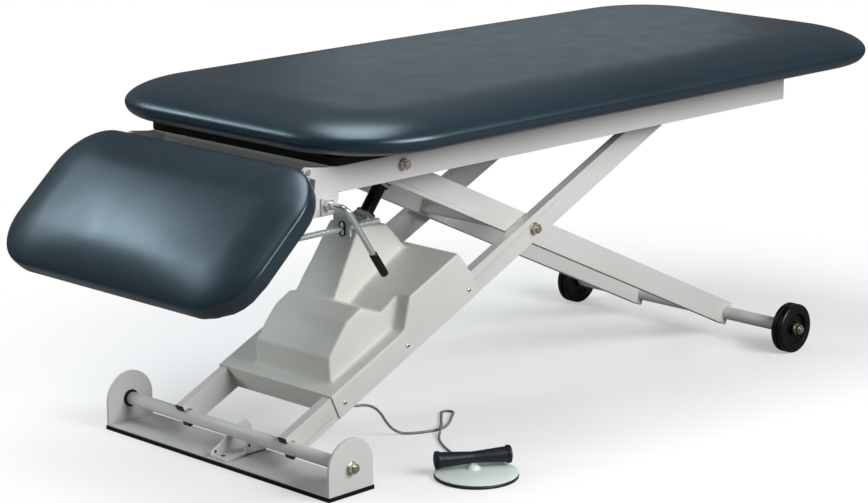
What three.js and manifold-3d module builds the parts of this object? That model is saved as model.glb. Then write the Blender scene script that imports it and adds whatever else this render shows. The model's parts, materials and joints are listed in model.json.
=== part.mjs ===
// A powered exam table: a cross-arm lift on a floor plate and two wheels carries a padded top,
// with a drop section on a clamped support rod, a moulded actuator cover and a foot pedal.
// Millimetres, +Z up, +X from the drop section to the wheels, the viewer's side at -Y.
import * as THREE from 'three';
import { mergeVertices } from 'three/addons/utils/BufferGeometryUtils.js';
import Module from 'manifold-3d';

const wasm = await Module();
wasm.setup();

// Clearances and counts shared by many pieces
const seatGap = 0.3;
const runningGap = 0.6;
const overrun = 3;
const roundSides = 24;
const smallRoundSides = 16;
const wheelSides = 32;
const discSides = 40;
const screwSides = 10;
const cornerSteps = 5;
const endSteps = 10;
const hexSides = 6;
const mergeDistance = 0.0003;
const sides = { near: -1, far: 1 };

// Cross-arm lift: both arm pairs turn about the middle pivot, equal reaches keep the top level
const lift = {
  angle: THREE.MathUtils.degToRad(24.9),
  lowerReach: 661,
  upperReach: 458,
  pivotHeight: 48.5,
};
lift.reach = lift.lowerReach + lift.upperReach;
lift.middleX = lift.lowerReach * Math.cos(lift.angle);
lift.middleZ = lift.pivotHeight + lift.lowerReach * Math.sin(lift.angle);
lift.topX = (lift.lowerReach - lift.upperReach) * Math.cos(lift.angle);
lift.topZ = lift.pivotHeight + lift.reach * Math.sin(lift.angle);
lift.rollerX = lift.reach * Math.cos(lift.angle);
lift.axleX = 2 * lift.lowerReach * Math.cos(lift.angle);

const roundTube = { radius: 12.7, wall: 2.2 };
const arm = {
  height: 46, width: 19, wall: 2.5, endRadius: 17, endTaper: 26, startBack: 3, startCut: 9, plug: 30,
};
arm.halfHeight = arm.height / 2;
const outerArm = { outerFace: 142 };
outerArm.innerFace = outerArm.outerFace - arm.width;
const armGap = 3;
const innerArm = { outerFace: outerArm.innerFace - armGap, endPast: 8 };
innerArm.innerFace = innerArm.outerFace - arm.width;

// Floor plate with its rubber strips, end plates and middle bracket
const strip = { height: 5, width: 22 };
const floorPlate = { thickness: 4, halfWidth: 50 };
floorPlate.bottom = strip.height + seatGap;
floorPlate.top = floorPlate.bottom + floorPlate.thickness;
const endPlate = { outerFace: 287, thickness: 5, archRadius: 50 };
endPlate.innerFace = endPlate.outerFace - endPlate.thickness;
floorPlate.halfLength = endPlate.innerFace - seatGap;
const cradle = {
  thickness: 4, nearEar: -27, farEar: 10, front: -46, rear: 46,
  frontHeight: 9, farApexX: 35, farApexHeight: 52, farRearHeight: 38, nearApexX: 22, nearApexHeight: 29,
  nearRearHeight: 9, holeRadius: 2.6, farHoleX: -36, farHoleHeight: 9, nearHoleX: 0, nearHoleHeight: 19,
};
const cradleScrew = { headRadius: 4.5, headHeight: 3, along: 34 };

// Bolts, nuts and bushes of the pivots
const pivotBolt = {
  shankRadius: 6, washerRadius: 11, washerThickness: 2, nutFlats: 17, nutHeight: 8, threadEnd: 4,
  inside: 26,
};
const bush = { flangeRadius: 15.5, flangeThickness: 3, sleeve: 14 };
const spacerRadius = 15;
const plug = { length: 22 };

// Wheels on the axle tube
const wheel = {
  outerFace: 293.8, width: 26.5, rimInner: 36, grooveWidth: 5, grooveDepth: 3.5, shoulder: 2.5,
  webRecess: 7, hubRadius: 14, dishRadius: 31,
};
wheel.innerFace = wheel.outerFace - wheel.width;
const axle = { halfLength: wheel.innerFace - runningGap };
const brace = { reach: 34, width: 26, height: 34, wall: 3 };

// Side rails: one folded channel each, whose web runs on as the drop section's bracket
const rail = {
  outerFace: 224.4, height: 45.5, wall: 3, flange: 28, pivotBelowTop: 20, end: 1229, start: 22,
};
rail.top = lift.topZ + rail.pivotBelowTop;
rail.innerWebFace = rail.outerFace - rail.wall;
rail.lipFace = rail.outerFace - rail.flange;
const bracket = {
  right: 39, lowRight: 29, low: 80, left: -22, neckX: -14, neckLow: 17, topRight: 10, reliefRadius: 2.6,
};
const roller = { radius: 16.4, width: 18, boreGap: 0.4 };
const rollerShaft = { radius: 8 };
const crossMember = { width: 25, wall: 2.5, frontX: 22, rearX: 1190 };

// Platform board and the two cushions
const board = { thickness: 15, halfWidth: 234, front: 22, rear: 1400, cornerRadius: 12 };
const mainPad = {
  front: -51, rear: 1482, halfWidth: 343, thickness: 52, frontRadius: 190, rearRadius: 232,
  edgeRadius: 25, drawIn: 16, crown: 5,
};
const dropPad = {
  length: 300, halfWidth: 311.8, thickness: 48, frontRadius: 98, rearRadius: 98,
  edgeRadius: 23, drawIn: 9, crown: 4,
};
const padSteps = { corner: 7, lower: 4, upper: 5 };
const padCrownShares = [0.35, 0.7, 1];
const dropBoard = { thickness: 10, inset: 24, cornerRadius: 60 };

// Drop section hinge: places are along the section (back from its hinge edge) and off its back plane
const dropHinge = {
  x: -31, aboveRail: -2.5, tilt: THREE.MathUtils.degToRad(41.9), edgeGap: 7.4, backOffset: 12.4,
};
const hingeEar = {
  radius: 8, thickness: 3.2, footLength: 112, footWidth: 34, footThickness: 3, footHeel: 12,
};
const hingePin = {
  shankRadius: 3.5, headRadius: 5.5, headHeight: 2, nutFlats: 10, nutHeight: 4,
};

// Support rod, its lug under the drop section, its slotted clamp bracket and the clamp lever
const strut = { radius: 5, eyeRadius: 7.5, eyeWidth: 9, length: 206, y: -248 };
const strutLug = {
  along: 118.1, below: 24.5, earThickness: 3, earRadius: 7.8, pinRadius: 3, footLength: 30, footThickness: 3,
};
const clamp = {
  flangeX: 25, thickness: 3.5, flangeWidth: 40, flangeLow: 111, flangeHigh: 66,
  slotHalfHeight: 11, slotClearance: 0.6, webLeft: -4, webLow: 78, webHigh: 50,
};
const lever = {
  x: 8, belowRail: 60, shankRadius: 4, shankEnd: 4, bossFlats: 16, bossHeight: 10, rodRadius: 4.5,
  reachOut: 34, bendRadius: 14, handleX: 86, handleDrop: 125, gripLength: 49, gripRadius: 6.5,
};
const leverBendShare = 0.1;

// Actuator between the lower cross plate and the lugs of the upper arms' cross tube
const actuator = {
  y: 23, lowX: 130, lowZ: -6, angle: THREE.MathUtils.degToRad(27.0), length: 419.5,
  tubeRadius: 19.5, tubeLength: 350, capLength: 14, capRadius: 22.5, rodRadius: 12.5, rodInside: 232,
  eyeRadius: 11, eyeBlock: 16, eyeWidth: 22, pinRadius: 5, pinHead: 9.5, pinHeadHeight: 5,
  rearEyeRadius: 10.2, rearStart: 17, retract: 52,
};
const motor = { radius: 26, offset: 52, start: 60, length: 84 };
const gearbox = { start: 36, length: 30, width: 40, margin: 4 };
const rodLug = {
  reach: 247, tubeBack: 42, tubeUp: 4, thickness: 4, sideGap: 2.2,
  slotHalfLength: 15.5, slotHalfHeight: 8.9, rim: 6.7,
};
const crossPlate = { front: 115.3, thickness: 4, low: -21, high: 21 };
const lowLug = { thickness: 5, sideGap: 0.8, radius: 13, rear: 20 };
const controlBox = { front: 152, rear: 262, low: -16, high: 20, thickness: 40, cornerRadius: 5 };
const gland = { x: 166, y: -103, radius: 6, nutRadius: 9, nutHeight: 3.5, length: 8, boreRadius: 3 };

// Moulded cover over the lower arms, outlines along the arms and up from their pivot line
const cover = {
  wall: 3, front: 112, rear: 487, skirtLow: -21, sideGap: seatGap,
  nearSide: -117, farSide: 73,
  boxNear: -145.3, boxStep: 30, boxFar: 92,
  towerNearTop: -15, towerNearLow: -34, towerFarTop: 61, towerFarLow: 66,
  draft: 4, holeRadius: 27, holeStart: 300, holeLength: 130, lipLow: 2, lipCorner: 12,
};
cover.halfWidth = outerArm.outerFace + cover.sideGap + cover.wall;
cover.flangeLow = arm.halfHeight + seatGap;
cover.flangeTop = cover.flangeLow + cover.wall;
const bumpProfile = {
  footX: 138, faceX: 155, faceZ: 67, slopeX: 219, slopeZ: 99, deckX: 259, deckZ: 102,
  valleyX: 293, valleyZ: 68,
};
const boxProfile = {
  footX: 303, frontX: 341, topZ: 74, rearX: 475, cornerX: 484, cornerZ: 44,
  farTopZ: 90, farFrontX: 318, farRearX: 462,
};
const towerProfile = {
  footX: 262, footZ: 92, peakX: 390, peakZ: 166, rearX: 449, rearZ: 130, lowRearX: 462, lowRearZ: 60,
};
const coverScrew = { headRadius: 4.2, headHeight: 2.4, shankRadius: 2, length: 8, z: -2 };
const coverScrewShares = [0.056, 0.5, 0.951];

// Foot pedal and the cord from the control box to it
const pedal = {
  x: 214, y: -366, radius: 72, height: 8, edge: 2, heading: THREE.MathUtils.degToRad(-29.9), back: 20,
};
const rocker = {
  height: 27.5, halfLength: 66, endRadius: 15.5, endLength: 8, waistRadius: 9, waistHalf: 5,
  slotHalfLength: 7, slotRise: 5,
};
const pedalPost = {
  halfLength: 8, halfWidth: 8, gap: 2, tongueHalf: 4.5, tongueThickness: 5, tongueRise: 3.5,
};
const pedalPin = { radius: 2, halfLength: 6.8 };
const pedalSocket = { forward: 80, radius: 4.2, length: 16 };
const cord = { radius: 2.4, sides: 8, steps: 80, endGap: 0.3 };

// Materials with the photographed colours
function paint(color, roughness, metalness) {
  return new THREE.MeshStandardMaterial({ color, roughness, metalness, flatShading: true });
}
const frameWhite = () => paint('#cbcbc7', 0.45, 0.1);
const coverGrey = () => paint('#d2d4ce', 0.55, 0.0);
const zinc = () => paint('#b9bdc0', 0.3, 0.9);
const blackPlastic = () => paint('#1b1c1d', 0.5, 0.0);
const blackRubber = () => paint('#141415', 0.8, 0.0);
const vinyl = () => paint('#3d4a52', 0.4, 0.0);
const blackBoard = () => paint('#121212', 0.7, 0.0);
const darkSteel = () => paint('#3a3c3e', 0.4, 0.8);
const paleDisc = () => paint('#c3c8c4', 0.5, 0.0);

// Solids and booleans
function toSolid(geometry) {
  const plain = geometry.clone();
  plain.deleteAttribute('normal');
  plain.deleteAttribute('uv');
  const merged = mergeVertices(plain, mergeDistance);
  const vertProperties = new Float32Array(merged.attributes.position.array);
  const triVerts = new Uint32Array(merged.index.array);
  return new wasm.Manifold(new wasm.Mesh({ numProp: 3, vertProperties, triVerts }));
}

function toGeometry(solid) {
  const mesh = solid.getMesh();
  const geometry = new THREE.BufferGeometry();
  const flat = new Float32Array(mesh.numVert * 3);
  for (let i = 0; i < mesh.numVert; i += 1) {
    for (let k = 0; k < 3; k += 1) flat[3 * i + k] = mesh.vertProperties[mesh.numProp * i + k];
  }
  geometry.setAttribute('position', new THREE.BufferAttribute(flat, 3));
  geometry.setIndex(new THREE.BufferAttribute(new Uint32Array(mesh.triVerts), 1));
  geometry.computeVertexNormals();
  return geometry;
}

function join(...geometries) {
  const solids = geometries.map(toSolid);
  return toGeometry(solids.reduce((sum, next) => sum.add(next)));
}

function cut(base, ...tools) {
  const start = toSolid(base);
  return toGeometry(tools.map(toSolid).reduce((rest, tool) => rest.subtract(tool), start));
}

function box(x0, x1, y0, y1, z0, z1) {
  const geometry = new THREE.BoxGeometry(x1 - x0, y1 - y0, z1 - z0);
  return geometry.translate((x0 + x1) / 2, (y0 + y1) / 2, (z0 + z1) / 2);
}

// A round bar along Y, or along the other two axes
function barY(radius, y0, y1, x, z, count = roundSides) {
  const geometry = new THREE.CylinderGeometry(radius, radius, y1 - y0, count);
  return geometry.translate(x, (y0 + y1) / 2, z);
}

function barX(radius, x0, x1, y, z, count = roundSides) {
  const geometry = new THREE.CylinderGeometry(radius, radius, x1 - x0, count);
  return geometry.rotateZ(-Math.PI / 2).translate((x0 + x1) / 2, y, z);
}

function barZ(radius, z0, z1, x, y, count = roundSides) {
  const geometry = new THREE.CylinderGeometry(radius, radius, z1 - z0, count);
  return geometry.rotateX(Math.PI / 2).translate(x, y, (z0 + z1) / 2);
}

function hexY(flats, y0, y1, x, z) {
  return barY(flats / Math.sqrt(3), y0, y1, x, z, hexSides);
}

// A plate in the XZ plane, its outline a list of [x, z], between two Y values
function plateXZ(points, y0, y1) {
  const shape = new THREE.Shape(points.map(([x, z]) => new THREE.Vector2(x, z)));
  const geometry = new THREE.ExtrudeGeometry(shape, { depth: y1 - y0, bevelEnabled: false });
  return geometry.rotateX(Math.PI / 2).translate(0, y1, 0);
}

// A plate in the YZ plane between two X values, and one in the XY plane between two Z values
function plateYZ(points, x0, x1) {
  const shape = new THREE.Shape(points.map(([y, z]) => new THREE.Vector2(y, z)));
  const geometry = new THREE.ExtrudeGeometry(shape, { depth: x1 - x0, bevelEnabled: false });
  return geometry.rotateX(Math.PI / 2).rotateZ(Math.PI / 2).translate(x0, 0, 0);
}

function plateXY(points, z0, z1) {
  const shape = new THREE.Shape(points.map(([x, y]) => new THREE.Vector2(x, y)));
  const geometry = new THREE.ExtrudeGeometry(shape, { depth: z1 - z0, bevelEnabled: false });
  return geometry.translate(0, 0, z0);
}

function arc(cx, cy, radius, from, to, steps = cornerSteps) {
  const points = [];
  for (let i = 0; i <= steps; i += 1) {
    const angle = from + ((to - from) * i) / steps;
    points.push([cx + radius * Math.cos(angle), cy + radius * Math.sin(angle)]);
  }
  return points;
}

function roundedRect(x0, x1, y0, y1, radius, endRadius = radius, steps = cornerSteps) {
  const quarter = Math.PI / 2;
  return [
    ...arc(x1 - endRadius, y1 - endRadius, endRadius, 0, quarter, steps),
    ...arc(x0 + radius, y1 - radius, radius, quarter, 2 * quarter, steps),
    ...arc(x0 + radius, y0 + radius, radius, 2 * quarter, 3 * quarter, steps),
    ...arc(x1 - endRadius, y0 + endRadius, endRadius, 3 * quarter, 4 * quarter, steps),
  ];
}

// A body turned about a line along Y from a closed profile of [radius, y]
function turnedY(profile, x, z, count = roundSides) {
  const points = [...profile, profile[0]].map(([r, y]) => new THREE.Vector2(r, y));
  return new THREE.LatheGeometry(points, count).translate(x, 0, z);
}

function ringY(inner, outer, y0, y1, x, z, count = roundSides) {
  return turnedY([[inner, y0], [outer, y0], [outer, y1], [inner, y1]], x, z, count);
}

function addPiece(group, name, geometry, material) {
  const mesh = new THREE.Mesh(geometry, material);
  mesh.name = name;
  group.add(mesh);
  return mesh;
}

// Y limits of a feature given from the middle outwards, on one side of the table
function span(side, inner, outer) {
  return side < 0 ? [-outer, -inner] : [inner, outer];
}

// Frames that the pieces hang in
const table = new THREE.Group();
const baseFrame = new THREE.Group();
const outerFrame = new THREE.Group();
const innerFrame = new THREE.Group();
const topFrame = new THREE.Group();
const dropFrame = new THREE.Group();
const strutFrame = new THREE.Group();
const actuatorFrame = new THREE.Group();
const pedalFrame = new THREE.Group();
outerFrame.position.set(0, 0, lift.pivotHeight);
outerFrame.rotation.y = -lift.angle;
innerFrame.position.set(lift.middleX, 0, lift.middleZ);
innerFrame.rotation.y = lift.angle;
topFrame.position.set(0, 0, rail.top);
dropFrame.position.set(dropHinge.x, 0, rail.top + dropHinge.aboveRail);
dropFrame.rotation.y = -dropHinge.tilt;
actuatorFrame.position.set(actuator.lowX, actuator.y, actuator.lowZ);
actuatorFrame.rotation.y = -actuator.angle;
outerFrame.add(actuatorFrame);
pedalFrame.position.set(pedal.x, pedal.y, 0);
pedalFrame.rotation.z = pedal.heading;
table.add(baseFrame, outerFrame, innerFrame, topFrame, dropFrame, strutFrame, pedalFrame);

// A pivot bolt seen from outside: washer, nut and thread end, with its shank going in
function outsideBolt(side, face, x, z, inside = pivotBolt.inside, shank = pivotBolt.shankRadius) {
  const washerOut = face + seatGap + pivotBolt.washerThickness;
  const nutOut = washerOut + pivotBolt.nutHeight;
  const [w0, w1] = span(side, face + seatGap, washerOut);
  const [n0, n1] = span(side, face + seatGap, nutOut);
  const [s0, s1] = span(side, face - inside, nutOut + pivotBolt.threadEnd);
  return join(
    barY(pivotBolt.washerRadius, w0, w1, x, z, smallRoundSides),
    hexY(pivotBolt.nutFlats, n0, n1, x, z),
    barY(shank, s0, s1, x, z, smallRoundSides),
  );
}

// A flanged nylon bush between a plate's inner face and the end of a round tube
function tubePlug(side, tubeEnd, x, z) {
  const [y0, y1] = span(side, tubeEnd - plug.length, tubeEnd);
  return barY(roundTube.radius - roundTube.wall - seatGap, y0, y1, x, z);
}

function flangedBush(side, face, x, z) {
  const [f0, f1] = span(side, face - seatGap - bush.flangeThickness, face - seatGap);
  const [s0, s1] = span(side, face - seatGap - bush.flangeThickness - bush.sleeve, face - seatGap);
  const sleeveRadius = roundTube.radius - roundTube.wall - seatGap;
  const [c0, c1] = span(side, face - bush.flangeThickness - bush.sleeve - overrun, face + overrun);
  return cut(
    join(barY(bush.flangeRadius, f0, f1, x, z), barY(sleeveRadius, s0, s1, x, z)),
    barY(pivotBolt.shankRadius + seatGap, c0, c1, x, z, smallRoundSides),
  );
}

function roundTubeY(halfLength, x, z) {
  return ringY(roundTube.radius - roundTube.wall, roundTube.radius, -halfLength, halfLength, x, z);
}

// Floor plate, its rubber strips and the end plates
function buildBase() {
  const { halfWidth, halfLength, bottom, top } = floorPlate;
  const plate = box(-halfWidth, halfWidth, -halfLength, halfLength, bottom, top);
  addPiece(baseFrame, 'floor_plate', plate, frameWhite());
  for (const [name, edge] of [['front', -halfWidth], ['rear', halfWidth - strip.width]]) {
    const length = endPlate.outerFace;
    const solid = box(edge, edge + strip.width, -length, length, 0, strip.height);
    addPiece(baseFrame, `rubber_strip_${name}`, solid, blackRubber());
  }
  for (const [name, side] of Object.entries(sides)) {
    const [y0, y1] = span(side, endPlate.innerFace, endPlate.outerFace);
    const outline = [
      ...arc(0, lift.pivotHeight, endPlate.archRadius, 0, Math.PI, roundSides),
      [-endPlate.archRadius, bottom],
      [endPlate.archRadius, bottom],
    ];
    const z = lift.pivotHeight;
    const boreRadius = pivotBolt.shankRadius + seatGap;
    const bore = barY(boreRadius, y0 - overrun, y1 + overrun, 0, z, smallRoundSides);
    addPiece(baseFrame, `end_plate_${name}`, cut(plateXZ(outline, y0, y1), bore), frameWhite());
    addPiece(baseFrame, `base_bolt_${name}`, outsideBolt(side, endPlate.outerFace, 0, z), zinc());
    addPiece(baseFrame, `base_bush_${name}`, flangedBush(side, endPlate.innerFace, 0, z), blackPlastic());
  }
}

// Folded cradle under the pivot tube: two sloping ears on a foot that two screws hold
function buildCradle() {
  const c = cradle;
  const low = floorPlate.top + seatGap;
  const footTop = low + c.thickness;
  const earAt = (y, apexX, apexHeight, rearHeight, holeX, holeHeight) => {
    const outline = [
      [c.front, low],
      [c.rear, low],
      [c.rear, low + rearHeight],
      [apexX, low + apexHeight],
      [c.front, low + c.frontHeight],
    ];
    const [y0, y1] = [y - overrun, y + c.thickness + overrun];
    const hole = barY(c.holeRadius, y0, y1, holeX, low + holeHeight, smallRoundSides);
    return cut(plateXZ(outline, y, y + c.thickness), hole);
  };
  const farFace = c.farEar + c.thickness;
  const saddleRadius = roundTube.radius + runningGap;
  const saddle = barY(saddleRadius, c.nearEar - overrun, farFace + overrun, 0, lift.pivotHeight);
  const middleY = (c.nearEar + farFace) / 2;
  const screwHeads = [-1, 1].map((end) => {
    const x = end * cradleScrew.along;
    const top = footTop + cradleScrew.headHeight;
    return barZ(cradleScrew.headRadius, footTop - seatGap, top, x, middleY, smallRoundSides);
  });
  const foot = box(c.front, c.rear, c.nearEar, farFace, low, footTop);
  const nearEar = earAt(
    c.nearEar, c.nearApexX, c.nearApexHeight, c.nearRearHeight, c.nearHoleX, c.nearHoleHeight,
  );
  const farEar = earAt(
    c.farEar, c.farApexX, c.farApexHeight, c.farRearHeight, c.farHoleX, c.farHoleHeight,
  );
  const body = cut(join(foot, nearEar, farEar, ...screwHeads), saddle);
  addPiece(baseFrame, 'tube_cradle', body, frameWhite());
}

// An arm of rectangular tube: outline, hollow and the bores for the tube, bolt and shaft
function armSolid(side, outerFace, outline, bores, voidStart, voidEnd) {
  const [y0, y1] = span(side, outerFace - arm.width, outerFace);
  const inside = arm.halfHeight - arm.wall;
  const hollow = box(voidStart, voidEnd, y0 + arm.wall, y1 - arm.wall, -inside, inside);
  const cuts = bores.map(({ x, radius, count = roundSides }) => (
    barY(radius, y0 - overrun, y1 + overrun, x, 0, count)
  ));
  return cut(plateXZ(outline, y0, y1), hollow, ...cuts);
}

function coverScrewPlaces() {
  return coverScrewShares.map((share) => cover.front + share * (cover.rear - cover.front));
}

function buildOuterFrame() {
  const h = arm.halfHeight;
  const end = lift.reach;
  const outline = [
    [-arm.startBack, arm.startCut - h],
    [arm.startCut - arm.startBack, -h],
    [end - arm.endTaper, -h],
    ...arc(end, 0, arm.endRadius, -Math.PI / 2, Math.PI / 2, endSteps),
    [end - arm.endTaper, h],
    [-arm.startBack, h],
  ];
  const bores = [
    { x: 0, radius: roundTube.radius + seatGap },
    { x: lift.lowerReach, radius: pivotBolt.shankRadius + seatGap, count: smallRoundSides },
    { x: end, radius: rollerShaft.radius + seatGap, count: smallRoundSides },
  ];
  const tubeHalf = endPlate.innerFace - bush.flangeThickness - 2 * seatGap;
  addPiece(outerFrame, 'lower_pivot_tube', roundTubeY(tubeHalf, 0, 0), frameWhite());
  for (const [name, side] of Object.entries(sides)) {
    const voidStart = -arm.startBack - overrun;
    const solid = armSolid(side, outerArm.outerFace, outline, bores, voidStart, end - arm.plug);
    const [y0, y1] = span(side, outerArm.outerFace - arm.wall - overrun, outerArm.outerFace + overrun);
    const screwHoles = coverScrewPlaces().map((x) => (
      barY(coverScrew.shankRadius + seatGap, y0, y1, x, coverScrew.z, smallRoundSides)
    ));
    addPiece(outerFrame, `outer_arm_${name}`, cut(solid, ...screwHoles), frameWhite());
    const through = outerArm.outerFace - innerArm.innerFace + overrun;
    const [g0, g1] = span(side, innerArm.outerFace + seatGap, outerArm.innerFace - seatGap);
    const bolt = join(
      outsideBolt(side, outerArm.outerFace, lift.lowerReach, 0, through),
      barY(spacerRadius, g0, g1, lift.lowerReach, 0, smallRoundSides),
    );
    addPiece(outerFrame, `middle_bolt_${name}`, bolt, zinc());
  }
  const shaftHalf = rail.innerWebFace - runningGap;
  addPiece(outerFrame, 'roller_shaft', barY(rollerShaft.radius, -shaftHalf, shaftHalf, end, 0), zinc());
  const c = crossPlate;
  const plateHalf = outerArm.innerFace - seatGap;
  const plate = box(c.front, c.front + c.thickness, -plateHalf, plateHalf, c.low, c.high);
  addPiece(outerFrame, 'actuator_mount', join(plate, ...lowLugs()), frameWhite());
}

// The two lugs behind the cross plate that hold the actuator's rear pin
function lowLugs() {
  const x = actuator.lowX;
  const z = actuator.lowZ;
  const half = Math.PI / 2;
  const outline = [
    [crossPlate.front, z - lowLug.radius],
    ...arc(x, z, lowLug.radius, -half, half, endSteps),
    [crossPlate.front, z + lowLug.radius],
  ];
  const inner = actuator.eyeWidth / 2 + lowLug.sideGap;
  const lugAt = (y0, y1) => plateXZ(outline, y0, y1);
  const outer = inner + lowLug.thickness;
  return [
    lugAt(actuator.y - outer, actuator.y - inner),
    lugAt(actuator.y + inner, actuator.y + outer),
    barY(actuator.pinRadius, actuator.y - outer, actuator.y + outer, x, z, smallRoundSides),
  ];
}

// Moulded cover: outer form less the same form drawn in by the wall, open below
function coverForm(inset) {
  const p = bumpProfile;
  const b = boxProfile;
  const t = towerProfile;
  const low = inset > 0 ? cover.skirtLow - overrun : cover.flangeLow;
  const d = cover.draft;
  const rise = cover.flangeTop;
  const bump = [
    [p.footX + inset, low], [p.footX + inset, rise], [p.faceX + inset, p.faceZ - inset],
    [p.slopeX, p.slopeZ - inset], [p.deckX, p.deckZ - inset], [p.valleyX, p.valleyZ - inset],
    [b.frontX, b.topZ - inset], [b.rearX - inset, b.topZ - inset],
    [b.cornerX - inset, b.cornerZ], [b.cornerX - inset, low],
  ];
  const rearBox = [
    [b.footX + inset, low], [b.footX + inset, rise], [b.frontX + inset, b.topZ - inset],
    [b.rearX - inset, b.topZ - inset], [b.cornerX - inset, b.cornerZ], [b.cornerX - inset, low],
  ];
  const farBox = [
    [b.footX + inset, low], [b.footX + inset, rise], [b.farFrontX + inset, b.farTopZ - inset],
    [b.farRearX - inset, b.farTopZ - inset], [b.cornerX - inset, b.cornerZ], [b.cornerX - inset, low],
  ];
  const [n0, f0] = [cover.nearSide + inset, cover.farSide - inset];
  return [
    drafted(bump, n0, f0, d),
    drafted(rearBox, cover.boxNear + inset, f0, 0),
    drafted(farBox, cover.boxStep + inset, cover.boxFar - inset, d),
    tower(t, inset, low),
  ];
}

// A block over an XZ outline whose sides lean in towards the top by the draft
function drafted(outline, y0, y1, draft) {
  const solid = plateXZ(outline, y0, y1);
  const position = solid.attributes.position;
  const top = Math.max(...outline.map(([, z]) => z));
  const middle = (y0 + y1) / 2;
  for (let i = 0; i < position.count; i += 1) {
    const share = Math.max(position.getZ(i) - cover.flangeTop, 0) / top;
    const y = position.getY(i);
    position.setY(i, y - Math.sign(y - middle) * draft * share);
  }
  return solid;
}

function tower(t, inset, low) {
  const topNear = cover.towerNearTop + inset;
  const topFar = cover.towerFarTop - inset;
  const lowNear = cover.towerNearLow + inset;
  const lowFar = cover.towerFarLow - inset;
  const corners = [];
  const ring = (x, z, near, far) => corners.push([x, near, z], [x, far, z]);
  ring(t.footX + inset, low, lowNear, lowFar);
  ring(t.footX + inset, t.footZ - inset, lowNear, lowFar);
  ring(t.peakX + inset, t.peakZ - inset, topNear, topFar);
  ring(t.rearX - inset, t.rearZ - inset, topNear, topFar);
  ring(t.lowRearX - inset, t.lowRearZ, lowNear, lowFar);
  ring(t.lowRearX - inset, low, lowNear, lowFar);
  return toGeometry(wasm.Manifold.hull(corners));
}

function buildCover() {
  const half = cover.halfWidth;
  const inner = outerArm.outerFace + cover.sideGap;
  const deck = box(cover.front, cover.rear, -half, half, cover.flangeLow, cover.flangeTop);
  const skirts = Object.values(sides).map((side) => {
    const [y0, y1] = span(side, inner, half);
    return box(cover.front, cover.rear, y0, y1, cover.skirtLow, cover.flangeTop);
  });
  const lipHalf = outerArm.innerFace - seatGap;
  const lip = plateYZ([
    [-lipHalf, cover.flangeTop], [-lipHalf, cover.lipLow], [lipHalf - cover.lipCorner, cover.lipLow],
    [lipHalf, cover.lipLow + cover.lipCorner], [lipHalf, cover.flangeTop],
  ], cover.front, cover.front + cover.wall);
  const outer = join(deck, lip, ...skirts, ...coverForm(0));
  const wide = half + overrun;
  const rearWall = box(
    cover.rear, cover.rear + wide, -wide, wide, cover.skirtLow - overrun, towerProfile.peakZ,
  );
  const along = Math.cos(actuator.angle);
  const up = Math.sin(actuator.angle);
  const exit = new THREE.CylinderGeometry(cover.holeRadius, cover.holeRadius, cover.holeLength, roundSides);
  exit.rotateZ(-Math.PI / 2).rotateY(-actuator.angle);
  const middle = cover.holeStart + cover.holeLength / 2;
  exit.translate(actuator.lowX + middle * along, actuator.y, actuator.lowZ + middle * up);
  const shell = cut(outer, ...coverForm(cover.wall), rearWall, exit);
  const screws = [];
  for (const side of Object.values(sides)) {
    const [h0, h1] = span(side, half - seatGap, half + coverScrew.headHeight);
    const [s0, s1] = span(side, half - coverScrew.length, half);
    for (const x of coverScrewPlaces()) {
      screws.push(barY(coverScrew.headRadius, h0, h1, x, coverScrew.z, screwSides));
      screws.push(barY(coverScrew.shankRadius, s0, s1, x, coverScrew.z, screwSides));
    }
  }
  addPiece(outerFrame, 'actuator_cover', join(shell, ...screws), coverGrey());
}

// Control box on the near arm under the cover, with the cord gland below it
function buildControlBox() {
  const c = controlBox;
  const near = -outerArm.innerFace + seatGap;
  const outline = roundedRect(c.front, c.rear, c.low, c.high, c.cornerRadius);
  const glandEnd = c.low - gland.length;
  const nutLow = c.low - gland.nutHeight;
  const sleeve = join(
    plateXZ(outline, near, near + c.thickness),
    barZ(gland.nutRadius, nutLow, c.low + overrun, gland.x, gland.y, hexSides),
    barZ(gland.radius, glandEnd, c.low, gland.x, gland.y, smallRoundSides),
  );
  const bore = barZ(gland.boreRadius, glandEnd - overrun, nutLow, gland.x, gland.y, smallRoundSides);
  addPiece(outerFrame, 'control_box', cut(sleeve, bore), blackPlastic());
}

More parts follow.
